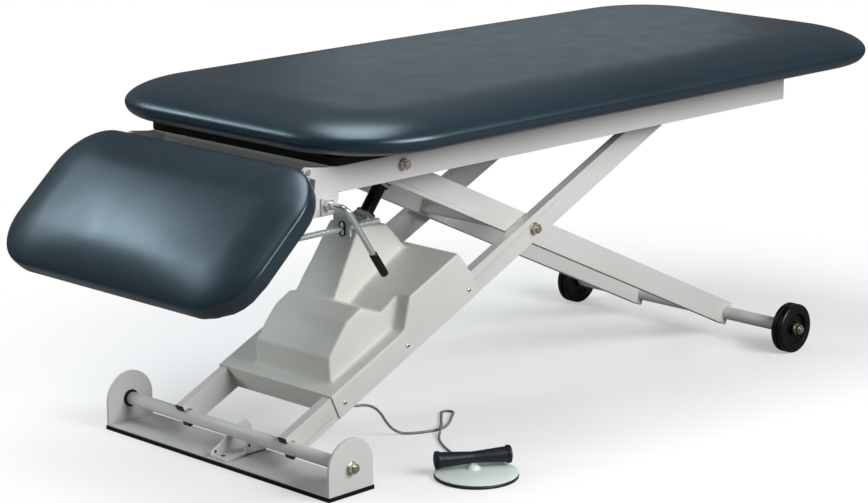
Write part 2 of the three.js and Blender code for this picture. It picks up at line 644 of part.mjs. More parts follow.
// Actuator in its own frame, +X along its line from the rear pin
function buildActuator() {
  const a = actuator;
  const rearEye = cut(
    join(
      barY(a.rearEyeRadius, -a.eyeWidth / 2, a.eyeWidth / 2, 0, 0),
      box(0, a.rearStart + seatGap, -a.eyeWidth / 2, a.eyeWidth / 2, -a.rearEyeRadius, a.rearEyeRadius),
      barX(a.tubeRadius, a.rearStart, a.tubeLength - a.capLength, 0, 0),
    ),
    barY(a.pinRadius + seatGap, -a.eyeWidth, a.eyeWidth, 0, 0, smallRoundSides),
    barX(a.rodRadius + runningGap, a.length - a.rodInside - a.retract, a.tubeLength, 0, 0),
  );
  addPiece(actuatorFrame, 'actuator_tube', rearEye, zinc());
  const cap = cut(
    barX(a.capRadius, a.tubeLength - a.capLength + seatGap, a.tubeLength, 0, 0),
    barX(a.rodRadius + runningGap, a.tubeLength - a.capLength - overrun, a.tubeLength + overrun, 0, 0),
  );
  addPiece(actuatorFrame, 'actuator_end_cap', cap, blackPlastic());
  const side = -motor.offset;
  const casing = cut(
    join(
      box(
        gearbox.start, gearbox.start + gearbox.length, side - motor.radius, a.tubeRadius + gearbox.margin,
        -gearbox.width / 2 - gearbox.margin, gearbox.width / 2 + gearbox.margin,
      ),
      barX(motor.radius, motor.start, motor.start + motor.length, side, 0),
    ),
    barX(a.tubeRadius + seatGap, gearbox.start - overrun, motor.start + motor.length, 0, 0),
  );
  addPiece(actuatorFrame, 'actuator_motor', casing, blackPlastic());
  const rodStart = a.length - a.rodInside;
  const lugOut = a.eyeWidth / 2 + rodLug.sideGap + rodLug.thickness + seatGap;
  const headOut = lugOut + a.pinHeadHeight;
  const rod = join(
    barX(a.rodRadius, rodStart, a.length - a.eyeRadius, 0, 0),
    barY(a.eyeRadius, -a.eyeWidth / 2, a.eyeWidth / 2, a.length, 0),
    box(a.length - a.eyeBlock, a.length, -a.eyeWidth / 2, a.eyeWidth / 2, -a.eyeRadius, a.eyeRadius),
    barY(a.pinRadius, -headOut, headOut, a.length, 0, smallRoundSides),
    barY(a.pinHead, -headOut, -lugOut, a.length, 0, smallRoundSides),
    barY(a.pinHead, lugOut, headOut, a.length, 0, smallRoundSides),
  );
  addPiece(actuatorFrame, 'actuator_rod', rod, darkSteel());
}

// Upper arm pair with the axle, the middle tube, the top pivot tube and the rod's cross tube
function buildInnerFrame() {
  const h = arm.halfHeight;
  const topEnd = -lift.upperReach;
  const low = lift.lowerReach + innerArm.endPast;
  const outline = [
    [topEnd + arm.endTaper, h],
    ...arc(topEnd, 0, arm.endRadius, Math.PI / 2, (3 * Math.PI) / 2, endSteps),
    [topEnd + arm.endTaper, -h],
    [low, -h],
    [low, h],
  ];
  const tubeBore = roundTube.radius + seatGap;
  const bores = [
    { x: topEnd, radius: tubeBore },
    { x: 0, radius: pivotBolt.shankRadius + seatGap, count: smallRoundSides },
    { x: lift.lowerReach, radius: tubeBore },
  ];
  for (const [name, side] of Object.entries(sides)) {
    const voidEnd = low - arm.plug - roundTube.radius;
    const solid = armSolid(side, innerArm.outerFace, outline, bores, topEnd + arm.plug, voidEnd);
    addPiece(innerFrame, `inner_arm_${name}`, solid, frameWhite());
  }
  const betweenArms = innerArm.innerFace - seatGap;
  const topHalf = rail.innerWebFace - runningGap;
  addPiece(innerFrame, 'top_pivot_tube', roundTubeY(topHalf, topEnd, 0), frameWhite());
  addPiece(innerFrame, 'inner_brace', innerBrace(betweenArms), frameWhite());
  addPiece(innerFrame, 'axle_tube', roundTubeY(axle.halfLength, lift.lowerReach, 0), frameWhite());
  addPiece(innerFrame, 'rod_cross_tube', rodCrossTube(betweenArms), frameWhite());
}

// Folded brace between the upper arms next to the middle pivot
function innerBrace(half) {
  const { wall } = brace;
  const front = -brace.reach - brace.width / 2;
  const rear = front + brace.width;
  const top = brace.height / 2;
  const outer = box(front, rear, -half, half, -top, top);
  const [y0, y1] = [-half - overrun, half + overrun];
  return cut(outer, box(front + wall, rear + overrun, y0, y1, wall - top, top - wall));
}

// Cross tube with the slotted lugs for the rod's pin
function rodCrossTube(half) {
  const r = rodLug;
  const x = -r.reach;
  const tubeX = x - r.tubeBack;
  const slotRun = r.slotHalfLength - r.slotHalfHeight;
  const quarter = Math.PI / 2;
  const outline = [
    [tubeX - roundTube.radius, r.tubeUp - roundTube.radius],
    ...arc(x + slotRun, 0, r.slotHalfHeight + r.rim, -quarter, quarter, endSteps),
    [tubeX - roundTube.radius, r.tubeUp + roundTube.radius],
  ];
  const inner = actuator.eyeWidth / 2 + r.sideGap;
  const lugAt = (y0) => plateXZ(outline, y0, y0 + r.thickness);
  const slotEnds = [-1, 1].map((end) => (
    barY(r.slotHalfHeight, -half, half, x + end * slotRun, 0, smallRoundSides)
  ));
  const slot = box(x - slotRun, x + slotRun, -half, half, -r.slotHalfHeight, r.slotHalfHeight);
  const lugs = cut(
    join(lugAt(actuator.y - inner - r.thickness), lugAt(actuator.y + inner)),
    slot, ...slotEnds, barY(roundTube.radius - seatGap, -half, half, tubeX, r.tubeUp),
  );
  return join(roundTubeY(half, tubeX, r.tubeUp), lugs);
}

// Wheels: tyre with a middle groove round a dished hub, on a bolt in the axle tube's end
function buildWheels() {
  const w = wheel;
  const radius = lift.pivotHeight;
  for (const [name, side] of Object.entries(sides)) {
    const y0 = w.innerFace;
    const y1 = w.outerFace;
    const middle = (y0 + y1) / 2;
    const groove = w.grooveWidth / 2;
    const tread = [
      [w.rimInner, y0], [radius - w.shoulder, y0], [radius, y0 + w.shoulder], [radius, middle - groove],
      [radius - w.grooveDepth, middle - groove / 2], [radius - w.grooveDepth, middle + groove / 2],
      [radius, middle + groove], [radius, y1 - w.shoulder], [radius - w.shoulder, y1], [w.rimInner, y1],
    ];
    const bore = pivotBolt.shankRadius + seatGap;
    const rim = w.rimInner - seatGap;
    const hub = [
      [bore, y0], [w.hubRadius, y0], [w.hubRadius, y0 + w.webRecess], [w.dishRadius, y0 + w.webRecess],
      [w.dishRadius, y0 + seatGap], [rim, y0 + seatGap], [rim, y1 - seatGap], [w.dishRadius, y1 - seatGap],
      [w.dishRadius, y1 - w.webRecess], [w.hubRadius, y1 - w.webRecess], [w.hubRadius, y1], [bore, y1],
    ];
    const place = (geometry) => (side < 0 ? geometry.rotateZ(Math.PI) : geometry);
    const tyre = place(turnedY(tread, 0, 0, wheelSides)).translate(lift.axleX, 0, lift.pivotHeight);
    const disc = place(turnedY(hub, 0, 0, wheelSides)).translate(lift.axleX, 0, lift.pivotHeight);
    addPiece(table, `wheel_tyre_${name}`, tyre, blackRubber());
    addPiece(table, `wheel_hub_${name}`, disc, blackPlastic());
    const inside = wheel.width + pivotBolt.inside;
    const bolt = outsideBolt(side, w.outerFace, lift.lowerReach, 0, inside);
    const filled = join(bolt, tubePlug(side, axle.halfLength, lift.lowerReach, 0));
    addPiece(innerFrame, `axle_bolt_${name}`, filled, zinc());
  }
}

// Side rails with their bracket end, and everything bolted between them
function railOutline() {
  const b = bracket;
  const hingeZ = dropHinge.aboveRail;
  const ear = hingeEar.radius;
  const half = Math.PI / 2;
  return [
    [rail.end, 0],
    [b.topRight, 0],
    ...arc(dropHinge.x, hingeZ, ear, half, 3 * half, endSteps),
    [b.neckX, -b.neckLow],
    [b.left, -b.low],
    [b.lowRight, -b.low],
    [b.right, -rail.height],
    [rail.end, -rail.height],
  ];
}

function buildRails() {
  const topPivotZ = lift.topZ - rail.top;
  for (const [name, side] of Object.entries(sides)) {
    const [y0, y1] = span(side, rail.innerWebFace, rail.outerFace);
    const [f0, f1] = span(side, rail.lipFace, rail.outerFace - rail.wall / 2);
    const channel = join(
      plateXZ(railOutline(), y0, y1),
      box(rail.start, rail.end, f0, f1, -rail.wall, 0),
      box(bracket.right, rail.end, f0, f1, -rail.height, -rail.height + rail.wall),
    );
    const c0 = y0 - overrun;
    const c1 = y1 + overrun;
    const holes = [
      barY(pivotBolt.shankRadius + seatGap, c0, c1, lift.topX, topPivotZ, smallRoundSides),
      barY(hingePin.shankRadius + seatGap, c0, c1, dropHinge.x, dropHinge.aboveRail, smallRoundSides),
    ];
    if (side < 0) {
      holes.push(barY(lever.shankRadius + runningGap, c0, c1, lever.x, -lever.belowRail, smallRoundSides));
      holes.push(barY(bracket.reliefRadius, c0, c1, bracket.right, -rail.height, smallRoundSides));
    }
    addPiece(topFrame, `side_rail_${name}`, cut(channel, ...holes), frameWhite());
    const topBolt = join(
      outsideBolt(side, rail.outerFace, lift.topX, topPivotZ),
      tubePlug(side, rail.innerWebFace - runningGap, lift.topX, topPivotZ),
    );
    addPiece(topFrame, `top_bolt_${name}`, topBolt, zinc());
    addPiece(topFrame, `drop_hinge_pin_${name}`, dropHingePin(side), darkSteel());
    const r0 = rail.innerWebFace - runningGap * 2 - roller.width;
    const [w0, w1] = span(side, r0, r0 + roller.width);
    const rollerRing = ringY(
      rollerShaft.radius + roller.boreGap, roller.radius, w0, w1, lift.rollerX, lift.topZ,
    );
    addPiece(table, `roller_${name}`, rollerRing, blackPlastic());
  }
  const half = rail.lipFace - seatGap;
  for (const [name, x] of [['front', crossMember.frontX], ['rear', crossMember.rearX]]) {
    const outer = box(x, x + crossMember.width, -half, half, -rail.height, 0);
    const { wall } = crossMember;
    const hollow = box(
      x + wall, x + crossMember.width - wall, -half - overrun, half + overrun, -rail.height + wall, -wall,
    );
    addPiece(topFrame, `cross_member_${name}`, cut(outer, hollow), frameWhite());
  }
}

function dropHingePin(side) {
  const h = hingePin;
  const z = dropHinge.aboveRail;
  const x = dropHinge.x;
  const outside = rail.outerFace + seatGap;
  const earInner = rail.innerWebFace - seatGap - hingeEar.thickness - seatGap;
  const [a0, a1] = span(side, outside, outside + h.headHeight);
  const [n0, n1] = span(side, earInner - h.nutHeight, earInner);
  const [s0, s1] = span(side, earInner - h.nutHeight, outside + h.headHeight);
  return join(
    barY(h.headRadius, a0, a1, x, z, smallRoundSides),
    hexY(h.nutFlats, n0, n1, x, z),
    barY(h.shankRadius, s0, s1, x, z, smallRoundSides),
  );
}

// A padded cushion: rounded plan, drawn-in underside, rolled edge and a low crown
function cushion(x0, x1, low, size) {
  const rings = [];
  const { halfWidth, thickness, edgeRadius: r, drawIn, crown, frontRadius, rearRadius } = size;
  const lowerRadius = Math.min(r, thickness - r);
  const ring = (inset, z) => {
    const half = halfWidth - inset;
    const plan = roundedRect(
      x0 + inset, x1 - inset, -half, half, frontRadius - inset, rearRadius - inset, padSteps.corner,
    );
    rings.push(plan.map(([x, y]) => [x, y, z]));
  };
  ring(drawIn + lowerRadius, low);
  for (let i = 0; i <= padSteps.lower; i += 1) {
    const angle = (-Math.PI / 2) * (1 - i / padSteps.lower);
    const inset = drawIn * Math.abs(Math.sin(angle)) + r * (1 - Math.cos(angle));
    ring(inset, low + lowerRadius * (1 + Math.sin(angle)));
  }
  const shoulder = low + thickness - r - crown;
  for (let i = 1; i <= padSteps.upper; i += 1) {
    const angle = (Math.PI / 2) * (i / padSteps.upper);
    ring(r * (1 - Math.cos(angle)), shoulder + r * Math.sin(angle));
  }
  const reach = Math.min(frontRadius, rearRadius) - r - r / 4;
  for (const share of padCrownShares) {
    ring(r + reach * share, low + thickness - crown * (1 - share) ** 2);
  }
  return closedRings(rings);
}

function closedRings(rings) {
  const count = rings[0].length;
  const positions = rings.flat(2);
  const index = [];
  for (let k = 0; k + 1 < rings.length; k += 1) {
    for (let i = 0; i < count; i += 1) {
      const a = k * count + i;
      const b = k * count + ((i + 1) % count);
      index.push(a, b, b + count, a, b + count, a + count);
    }
  }
  const capAt = (ringIndex, flip) => {
    const points = rings[ringIndex];
    const centre = positions.length / 3;
    const mid = [0, 1, 2].map((k) => points.reduce((sum, p) => sum + p[k], 0) / count);
    positions.push(...mid);
    for (let i = 0; i < count; i += 1) {
      const a = ringIndex * count + i;
      const b = ringIndex * count + ((i + 1) % count);
      if (flip) index.push(centre, b, a);
      else index.push(centre, a, b);
    }
  };
  capAt(0, true);
  capAt(rings.length - 1, false);
  const geometry = new THREE.BufferGeometry();
  geometry.setAttribute('position', new THREE.Float32BufferAttribute(positions, 3));
  geometry.setIndex(index);
  geometry.computeVertexNormals();
  return geometry;
}

function buildPlatform() {
  const low = seatGap;
  const half = board.halfWidth;
  const outline = roundedRect(board.front, board.rear, -half, half, board.cornerRadius);
  addPiece(topFrame, 'platform_board', plateXY(outline, low, low + board.thickness), blackBoard());
  const pad = cushion(mainPad.front, mainPad.rear, low + board.thickness + seatGap, mainPad);
  addPiece(topFrame, 'main_cushion', pad, vinyl());
}

// Drop section: cushion on its board, carried by two eared hinge plates
function buildDropSection() {
  const h = dropHinge;
  const edge = -h.edgeGap;
  const far = edge - dropPad.length;
  const boardLow = -h.backOffset;
  const boardTop = boardLow + dropBoard.thickness;
  const pad = cushion(far, edge, boardTop + seatGap, dropPad);
  addPiece(dropFrame, 'drop_cushion', pad, vinyl());
  const { inset } = dropBoard;
  const half = dropPad.halfWidth - inset;
  const outline = roundedRect(far + inset, edge - inset, -half, half, dropBoard.cornerRadius);
  addPiece(dropFrame, 'drop_board', plateXY(outline, boardLow, boardTop), blackBoard());
  const footTop = boardLow - seatGap;
  for (const [name, side] of Object.entries(sides)) {
    addPiece(dropFrame, `drop_hinge_${name}`, hingePlate(side, footTop), frameWhite());
  }
  addPiece(dropFrame, 'strut_lug', strutLugSolid(footTop), zinc());
}

function hingePlate(side, footTop) {
  const e = hingeEar;
  const outerY = rail.innerWebFace - seatGap;
  const low = footTop - e.footThickness;
  const half = Math.PI / 2;
  const [y0, y1] = span(side, outerY - e.thickness, outerY);
  const [f0, f1] = span(side, outerY - e.footWidth, outerY);
  const ear = plateXZ([
    ...arc(0, 0, e.radius, 0, 2 * half, endSteps),
    [-e.radius, footTop],
    [-e.footLength, footTop],
    [-e.footLength, low],
    [e.radius - e.footThickness, low],
    [e.radius, low + e.footHeel],
  ], y0, y1);
  const foot = box(-e.footLength, -e.footHeel, f0, f1, low, footTop);
  const bore = barY(hingePin.shankRadius + seatGap, y0 - overrun, y1 + overrun, 0, 0, smallRoundSides);
  return cut(join(ear, foot), bore);
}

function strutLugSolid(footTop) {
  const s = strutLug;
  const x = -s.along;
  const z = -s.below;
  const inner = strut.eyeWidth / 2 + runningGap;
  const low = footTop - s.footThickness;
  const outline = [
    [x + s.earRadius, low], ...arc(x, z, s.earRadius, 0, -Math.PI, endSteps), [x - s.earRadius, low],
  ];
  const outer = inner + s.earThickness;
  return join(
    box(x - s.footLength / 2, x + s.footLength / 2, strut.y - outer * 2, strut.y + outer * 2, low, footTop),
    plateXZ(outline, strut.y - outer, strut.y - inner),
    plateXZ(outline, strut.y + inner, strut.y + outer),
    barY(s.pinRadius, strut.y - outer, strut.y + outer, x, z, smallRoundSides),
  );
}

// Support rod from the lug, level through the slot of the clamp bracket
function strutPivot() {
  const local = new THREE.Vector3(-strutLug.along, strut.y, -strutLug.below);
  local.applyAxisAngle(new THREE.Vector3(0, 1, 0), -dropHinge.tilt);
  return local.add(dropFrame.position);
}

function buildStrut() {
  const pivot = strutPivot();
  strutFrame.position.copy(pivot);
  const s = strut;
  const rod = cut(
    join(
      barX(s.radius, 0, s.length, 0, 0, smallRoundSides),
      barY(s.eyeRadius, -s.eyeWidth / 2, s.eyeWidth / 2, 0, 0, smallRoundSides),
    ),
    barY(strutLug.pinRadius + seatGap, -s.eyeWidth, s.eyeWidth, 0, 0, smallRoundSides),
    box(-s.eyeRadius * 2, s.eyeRadius, s.eyeWidth / 2, s.eyeWidth, -s.eyeRadius * 2, s.eyeRadius * 2),
    box(-s.eyeRadius * 2, s.eyeRadius, -s.eyeWidth, -s.eyeWidth / 2, -s.eyeRadius * 2, s.eyeRadius * 2),
  );
  addPiece(strutFrame, 'support_rod', rod, zinc());
}

function buildClamp() {
  const c = clamp;
  const slotZ = strutPivot().z - rail.top;
  const webOut = -rail.outerFace - seatGap;
  const webIn = webOut - c.thickness;
  const flangeOut = webOut - c.flangeWidth;
  const web = box(c.webLeft, c.flangeX + c.thickness / 2, webIn, webOut, -c.webLow, -c.webHigh);
  const flangeOutline = [
    [webOut, -c.flangeHigh + c.thickness], [flangeOut, -c.flangeHigh], [flangeOut, -c.flangeLow],
    [webOut - c.thickness, -c.flangeLow], [webOut, -c.webLow],
  ];
  const flange = plateYZ(flangeOutline, c.flangeX - c.thickness / 2, c.flangeX + c.thickness / 2);
  const slotHalf = strut.radius + c.slotClearance;
  const run = c.slotHalfHeight - slotHalf;
  const x0 = c.flangeX - c.thickness;
  const x1 = c.flangeX + c.thickness;
  const boreRadius = lever.shankRadius + runningGap;
  const [b0, b1] = [webIn - overrun, webOut + overrun];
  const body = cut(
    join(web, flange),
    box(x0, x1, strut.y - slotHalf, strut.y + slotHalf, slotZ - run, slotZ + run),
    barX(slotHalf, x0, x1, strut.y, slotZ - run, smallRoundSides),
    barX(slotHalf, x0, x1, strut.y, slotZ + run, smallRoundSides),
    barY(boreRadius, b0, b1, lever.x, -lever.belowRail, smallRoundSides),
  );
  addPiece(topFrame, 'clamp_bracket', body, zinc());
}

// Clamp lever: threaded shank and boss, bent rod and grip
function barBetween(from, to, radius, count = smallRoundSides) {
  const run = to.clone().sub(from);
  const geometry = new THREE.CylinderGeometry(radius, radius, run.length(), count);
  const turn = new THREE.Quaternion().setFromUnitVectors(new THREE.Vector3(0, 1, 0), run.normalize());
  const middle = from.clone().add(to).divideScalar(2);
  return geometry.applyQuaternion(turn).translate(middle.x, middle.y, middle.z);
}

function circleShape(radius, count) {
  const points = arc(0, 0, radius, 0, 2 * Math.PI, count).slice(0, -1);
  return new THREE.Shape(points.map(([x, y]) => new THREE.Vector2(x, y)));
}

// A round bar swept along a curve, closed at both ends
function sweep(curve, radius, count, steps) {
  const shape = circleShape(radius, count);
  return new THREE.ExtrudeGeometry(shape, { steps, bevelEnabled: false, extrudePath: curve });
}

function buildLever() {
  const start = -rail.outerFace - seatGap * 2 - clamp.thickness;
  const bendY = start - lever.bossHeight - lever.reachOut;
  const down = new THREE.Vector3(lever.handleX, 0, -lever.handleDrop);
  const length = down.length();
  down.normalize();
  const corner = new THREE.Vector3(0, bendY, 0);
  const bendStart = new THREE.Vector3(0, bendY + lever.bendRadius, 0);
  const bendEnd = corner.clone().addScaledVector(down, lever.bendRadius);
  const gripStart = corner.clone().addScaledVector(down, length - lever.gripLength);
  const bossMiddle = new THREE.Vector3(0, start - lever.bossHeight / 2, 0);
  const bend = new THREE.QuadraticBezierCurve3(bendStart, corner, bendEnd);
  const shankEnd = lever.shankEnd - rail.innerWebFace;
  const rod = join(
    barBetween(bossMiddle, bendStart.clone().lerp(corner, leverBendShare), lever.rodRadius),
    sweep(bend, lever.rodRadius, smallRoundSides, cornerSteps),
    barBetween(bendEnd.clone().lerp(corner, leverBendShare), gripStart, lever.rodRadius),
    hexY(lever.bossFlats, start - lever.bossHeight, start, 0, 0),
    barY(lever.shankRadius, bossMiddle.y, shankEnd, 0, 0, smallRoundSides),
  );
  const leverFrame = new THREE.Group();
  leverFrame.position.set(lever.x, 0, -lever.belowRail);
  topFrame.add(leverFrame);
  addPiece(leverFrame, 'clamp_lever', rod, zinc());
  const tip = lever.gripRadius / 3;
  const { gripRadius, gripLength } = lever;
  const profile = [
    [0, seatGap], [gripRadius - tip / 2, seatGap], [gripRadius, seatGap + tip],
    [gripRadius, gripLength - tip], [gripRadius - tip, gripLength], [0, gripLength],
  ].map(([r, y]) => new THREE.Vector2(r, y));
  const grip = new THREE.LatheGeometry(profile, smallRoundSides);
  const turn = new THREE.Quaternion().setFromUnitVectors(new THREE.Vector3(0, 1, 0), down);
  grip.applyQuaternion(turn).translate(gripStart.x, gripStart.y, gripStart.z);
  addPiece(leverFrame, 'lever_grip', grip, blackRubber());
}

// Foot pedal: a disc on the floor with a bow-tie rocker on its post
function buildPedal() {
  const p = pedal;
  const y = p.back;
  const inside = p.height / 2;
  const disc = [
    [0, 0], [p.radius, 0], [p.radius, p.height - p.edge], [p.radius - p.edge, p.height], [0, p.height],
  ].map(([r, z]) => new THREE.Vector2(r, z));
  const plate = new THREE.LatheGeometry(disc, discSides).rotateX(Math.PI / 2);
  const { halfLength, halfWidth, tongueHalf } = pedalPost;
  const postTop = rocker.height - rocker.waistRadius - pedalPost.gap;
  const post = box(-halfLength, halfLength, y - halfWidth, y + halfWidth, inside, postTop);
  const { radius: socketRadius, forward, length } = pedalSocket;
  const socket = barY(socketRadius, forward - length, forward, 0, socketRadius, smallRoundSides);
  const tongue = pedalPost.tongueThickness / 2;
  const tongueTop = rocker.height + pedalPost.tongueRise;
  const tongueSolid = box(-tongueHalf, tongueHalf, y - tongue, y + tongue, inside, tongueTop);
  const pinHalf = pedalPin.halfLength;
  const pin = barY(pedalPin.radius, y - pinHalf, y + pinHalf, 0, rocker.height, smallRoundSides);
  addPiece(pedalFrame, 'pedal_base', join(plate, post, socket, tongueSolid, pin), paleDisc());
  const e = rocker;
  const half = e.halfLength;
  const profile = [
    [0, -half], [e.endRadius, -half], [e.endRadius, e.endLength - half], [e.waistRadius, -e.waistHalf],
    [e.waistRadius, e.waistHalf], [e.endRadius, half - e.endLength], [e.endRadius, half], [0, half],
  ].map(([r, x]) => new THREE.Vector2(r, x));
  const bar = new THREE.LatheGeometry(profile, roundSides).rotateZ(-Math.PI / 2);
  bar.translate(0, y, e.height);
  const slot = box(
    -e.slotHalfLength, e.slotHalfLength, y - tongue - seatGap, y + tongue + seatGap,
    e.height - e.endRadius, e.height + e.slotRise,
  );
  const boreHalf = pinHalf + seatGap;
  const boreRadius = pedalPin.radius + seatGap;
  const bore = barY(boreRadius, y - boreHalf, y + boreHalf, 0, e.height, smallRoundSides);
  addPiece(pedalFrame, 'pedal_rocker', cut(bar, slot, bore), blackRubber());
}

// Cord from the gland, down to the floor, once round a loop and into the pedal's socket
const cordBeforeLoop = [
  [171, -101, 82], [184, -104, 74.5], [200, -106, 72.5], [218, -106, 67], [233, -105, 58.5],
  [246, -105, 46], [257, -106, 30], [271, -108, 14], [286, -114, 4.5], [303, -126, 2.6],
  [325, -137, 2.6], [348, -144, 2.6], [372, -140, 2.6], [397, -125.5, 2.6], [418, -109.5, 2.6],
];
const cordLoop = {
  x: 431.8, y: -85.4, z: 2.6, radius: 11, steps: 8,
  from: THREE.MathUtils.degToRad(-52), to: THREE.MathUtils.degToRad(152),
};
const cordAfterLoop = [
  [405, -96.5, 2.6], [385, -116, 2.8], [366, -136, 6], [352, -147, 9.6], [336, -161, 6.4],
  [315, -179, 2.8], [295, -205, 2.6], [279, -234, 2.6], [267, -262, 2.8],
];

function cordPoints() {
  const glandTip = controlBox.low - gland.length - cord.endGap;
  const leaving = [glandTip, glandTip - gland.length / 2].map((z) => {
    const point = new THREE.Vector3(gland.x, gland.y, z);
    return point.applyAxisAngle(new THREE.Vector3(0, 1, 0), -lift.angle).add(outerFrame.position);
  });
  const socketMouth = pedalSocket.forward + cord.endGap;
  const arriving = [pedalSocket.forward + pedalSocket.length / 2, socketMouth].map((y) => {
    const point = new THREE.Vector3(0, y, pedalSocket.radius);
    return point.applyAxisAngle(new THREE.Vector3(0, 0, 1), pedal.heading).add(pedalFrame.position);
  });
  const l = cordLoop;
  const loop = arc(l.x, l.y, l.radius, l.from, l.to, l.steps).map(([x, y]) => [x, y, l.z]);
  const between = [...cordBeforeLoop, ...loop, ...cordAfterLoop];
  return [...leaving, ...between.map(([x, y, z]) => new THREE.Vector3(x, y, z)), ...arriving];
}

function buildCord() {
  const curve = new THREE.CatmullRomCurve3(cordPoints(), false, 'centripetal');
  addPiece(table, 'pedal_cord', sweep(curve, cord.radius, cord.sides, cord.steps), blackRubber());
}

buildBase();
buildCradle();
buildOuterFrame();
buildCover();
buildControlBox();
buildActuator();
buildInnerFrame();
buildWheels();
buildRails();
buildPlatform();
buildDropSection();
buildStrut();
buildClamp();
buildLever();
buildPedal();
buildCord();

// The frame's origin is the middle of the front rubber strip's underside
table.position.x = floorPlate.halfWidth - strip.width / 2;
const group = new THREE.Group();
group.add(table);

export default group;
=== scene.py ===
import json
import math

import bmesh
import bpy
from mathutils import Matrix, Vector, kdtree

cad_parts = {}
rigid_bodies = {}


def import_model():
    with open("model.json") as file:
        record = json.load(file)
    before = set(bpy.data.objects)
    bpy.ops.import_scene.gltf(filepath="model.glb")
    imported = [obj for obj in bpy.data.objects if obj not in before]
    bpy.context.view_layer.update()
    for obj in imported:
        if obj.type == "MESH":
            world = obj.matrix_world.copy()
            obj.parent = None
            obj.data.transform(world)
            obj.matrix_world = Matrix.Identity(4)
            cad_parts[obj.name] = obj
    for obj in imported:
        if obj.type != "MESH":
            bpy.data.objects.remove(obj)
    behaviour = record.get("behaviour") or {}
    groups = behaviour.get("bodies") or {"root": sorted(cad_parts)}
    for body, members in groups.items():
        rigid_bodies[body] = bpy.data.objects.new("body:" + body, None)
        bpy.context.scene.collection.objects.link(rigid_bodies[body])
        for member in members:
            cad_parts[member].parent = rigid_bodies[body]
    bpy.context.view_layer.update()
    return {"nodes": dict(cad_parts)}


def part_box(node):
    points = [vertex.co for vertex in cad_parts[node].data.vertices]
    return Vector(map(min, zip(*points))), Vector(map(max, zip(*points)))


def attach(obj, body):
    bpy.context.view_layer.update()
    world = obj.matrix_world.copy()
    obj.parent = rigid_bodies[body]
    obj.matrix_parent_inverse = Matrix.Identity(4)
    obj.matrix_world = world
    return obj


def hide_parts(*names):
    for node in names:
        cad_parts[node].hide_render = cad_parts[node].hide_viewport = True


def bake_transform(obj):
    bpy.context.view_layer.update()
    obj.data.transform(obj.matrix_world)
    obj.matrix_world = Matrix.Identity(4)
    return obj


for stale in list(bpy.data.objects):
    bpy.data.objects.remove(stale)
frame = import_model()


# Camera: it stands off the drop section's near corner, 12.7 degrees above the floor, and frames the
# whole table as the photograph does, so its shift is the photograph's own crop.
camera_data = bpy.data.cameras.new("camera")
camera = bpy.data.objects.new("camera", camera_data)
bpy.context.scene.collection.objects.link(camera)
yaw, pitch, roll = math.radians(46.8), math.radians(12.7), math.radians(0.2)
frame_width, focal_pixels, shift_pixels = 868, 2600.2, (-61.6, -42.6)
ahead = Vector((math.sin(yaw) * math.cos(pitch), math.cos(yaw) * math.cos(pitch), -math.sin(pitch)))
right = Vector((math.cos(yaw), -math.sin(yaw), 0))
above = right.cross(ahead)
level_right = right * math.cos(roll) + above * math.sin(roll)
level_up = above * math.cos(roll) - right * math.sin(roll)
turn = Matrix((level_right, level_up, -ahead)).transposed().to_4x4()
camera.matrix_world = Matrix.Translation((-2.7586, -3.2363, 1.3979)) @ turn
camera_data.sensor_width = 36
camera_data.lens = focal_pixels * camera_data.sensor_width / frame_width
camera_data.shift_x, camera_data.shift_y = [pixels / frame_width for pixels in shift_pixels]
camera_data.clip_end = 60
bpy.context.scene.camera = camera


# Cord from the control box to the foot pedal: a limp round flex in grey PVC. It leaves a gland
# under the near lower arm, drops to the floor, makes one small loop over itself and runs into the
# pedal's socket.
def srgb(code):
    """A hex colour as the linear numbers that Blender takes."""
    parts = [int(code[i : i + 2], 16) / 255 for i in (1, 3, 5)]
    return [p / 12.92 if p <= 0.04045 else ((p + 0.055) / 1.055) ** 2.4 for p in parts] + [1.0]


def add(tree, kind, inputs=None, **settings):
    """Adds a shader node, sets its properties, and fills or links its inputs by name or number."""
    node = tree.nodes.new(kind)
    for key, value in settings.items():
        setattr(node, key, value)
    for key, value in (inputs or {}).items():
        socket = node.inputs[key]
        if isinstance(value, bpy.types.NodeSocket):
            tree.links.new(value, socket)
        else:
            socket.default_value = value
    return node


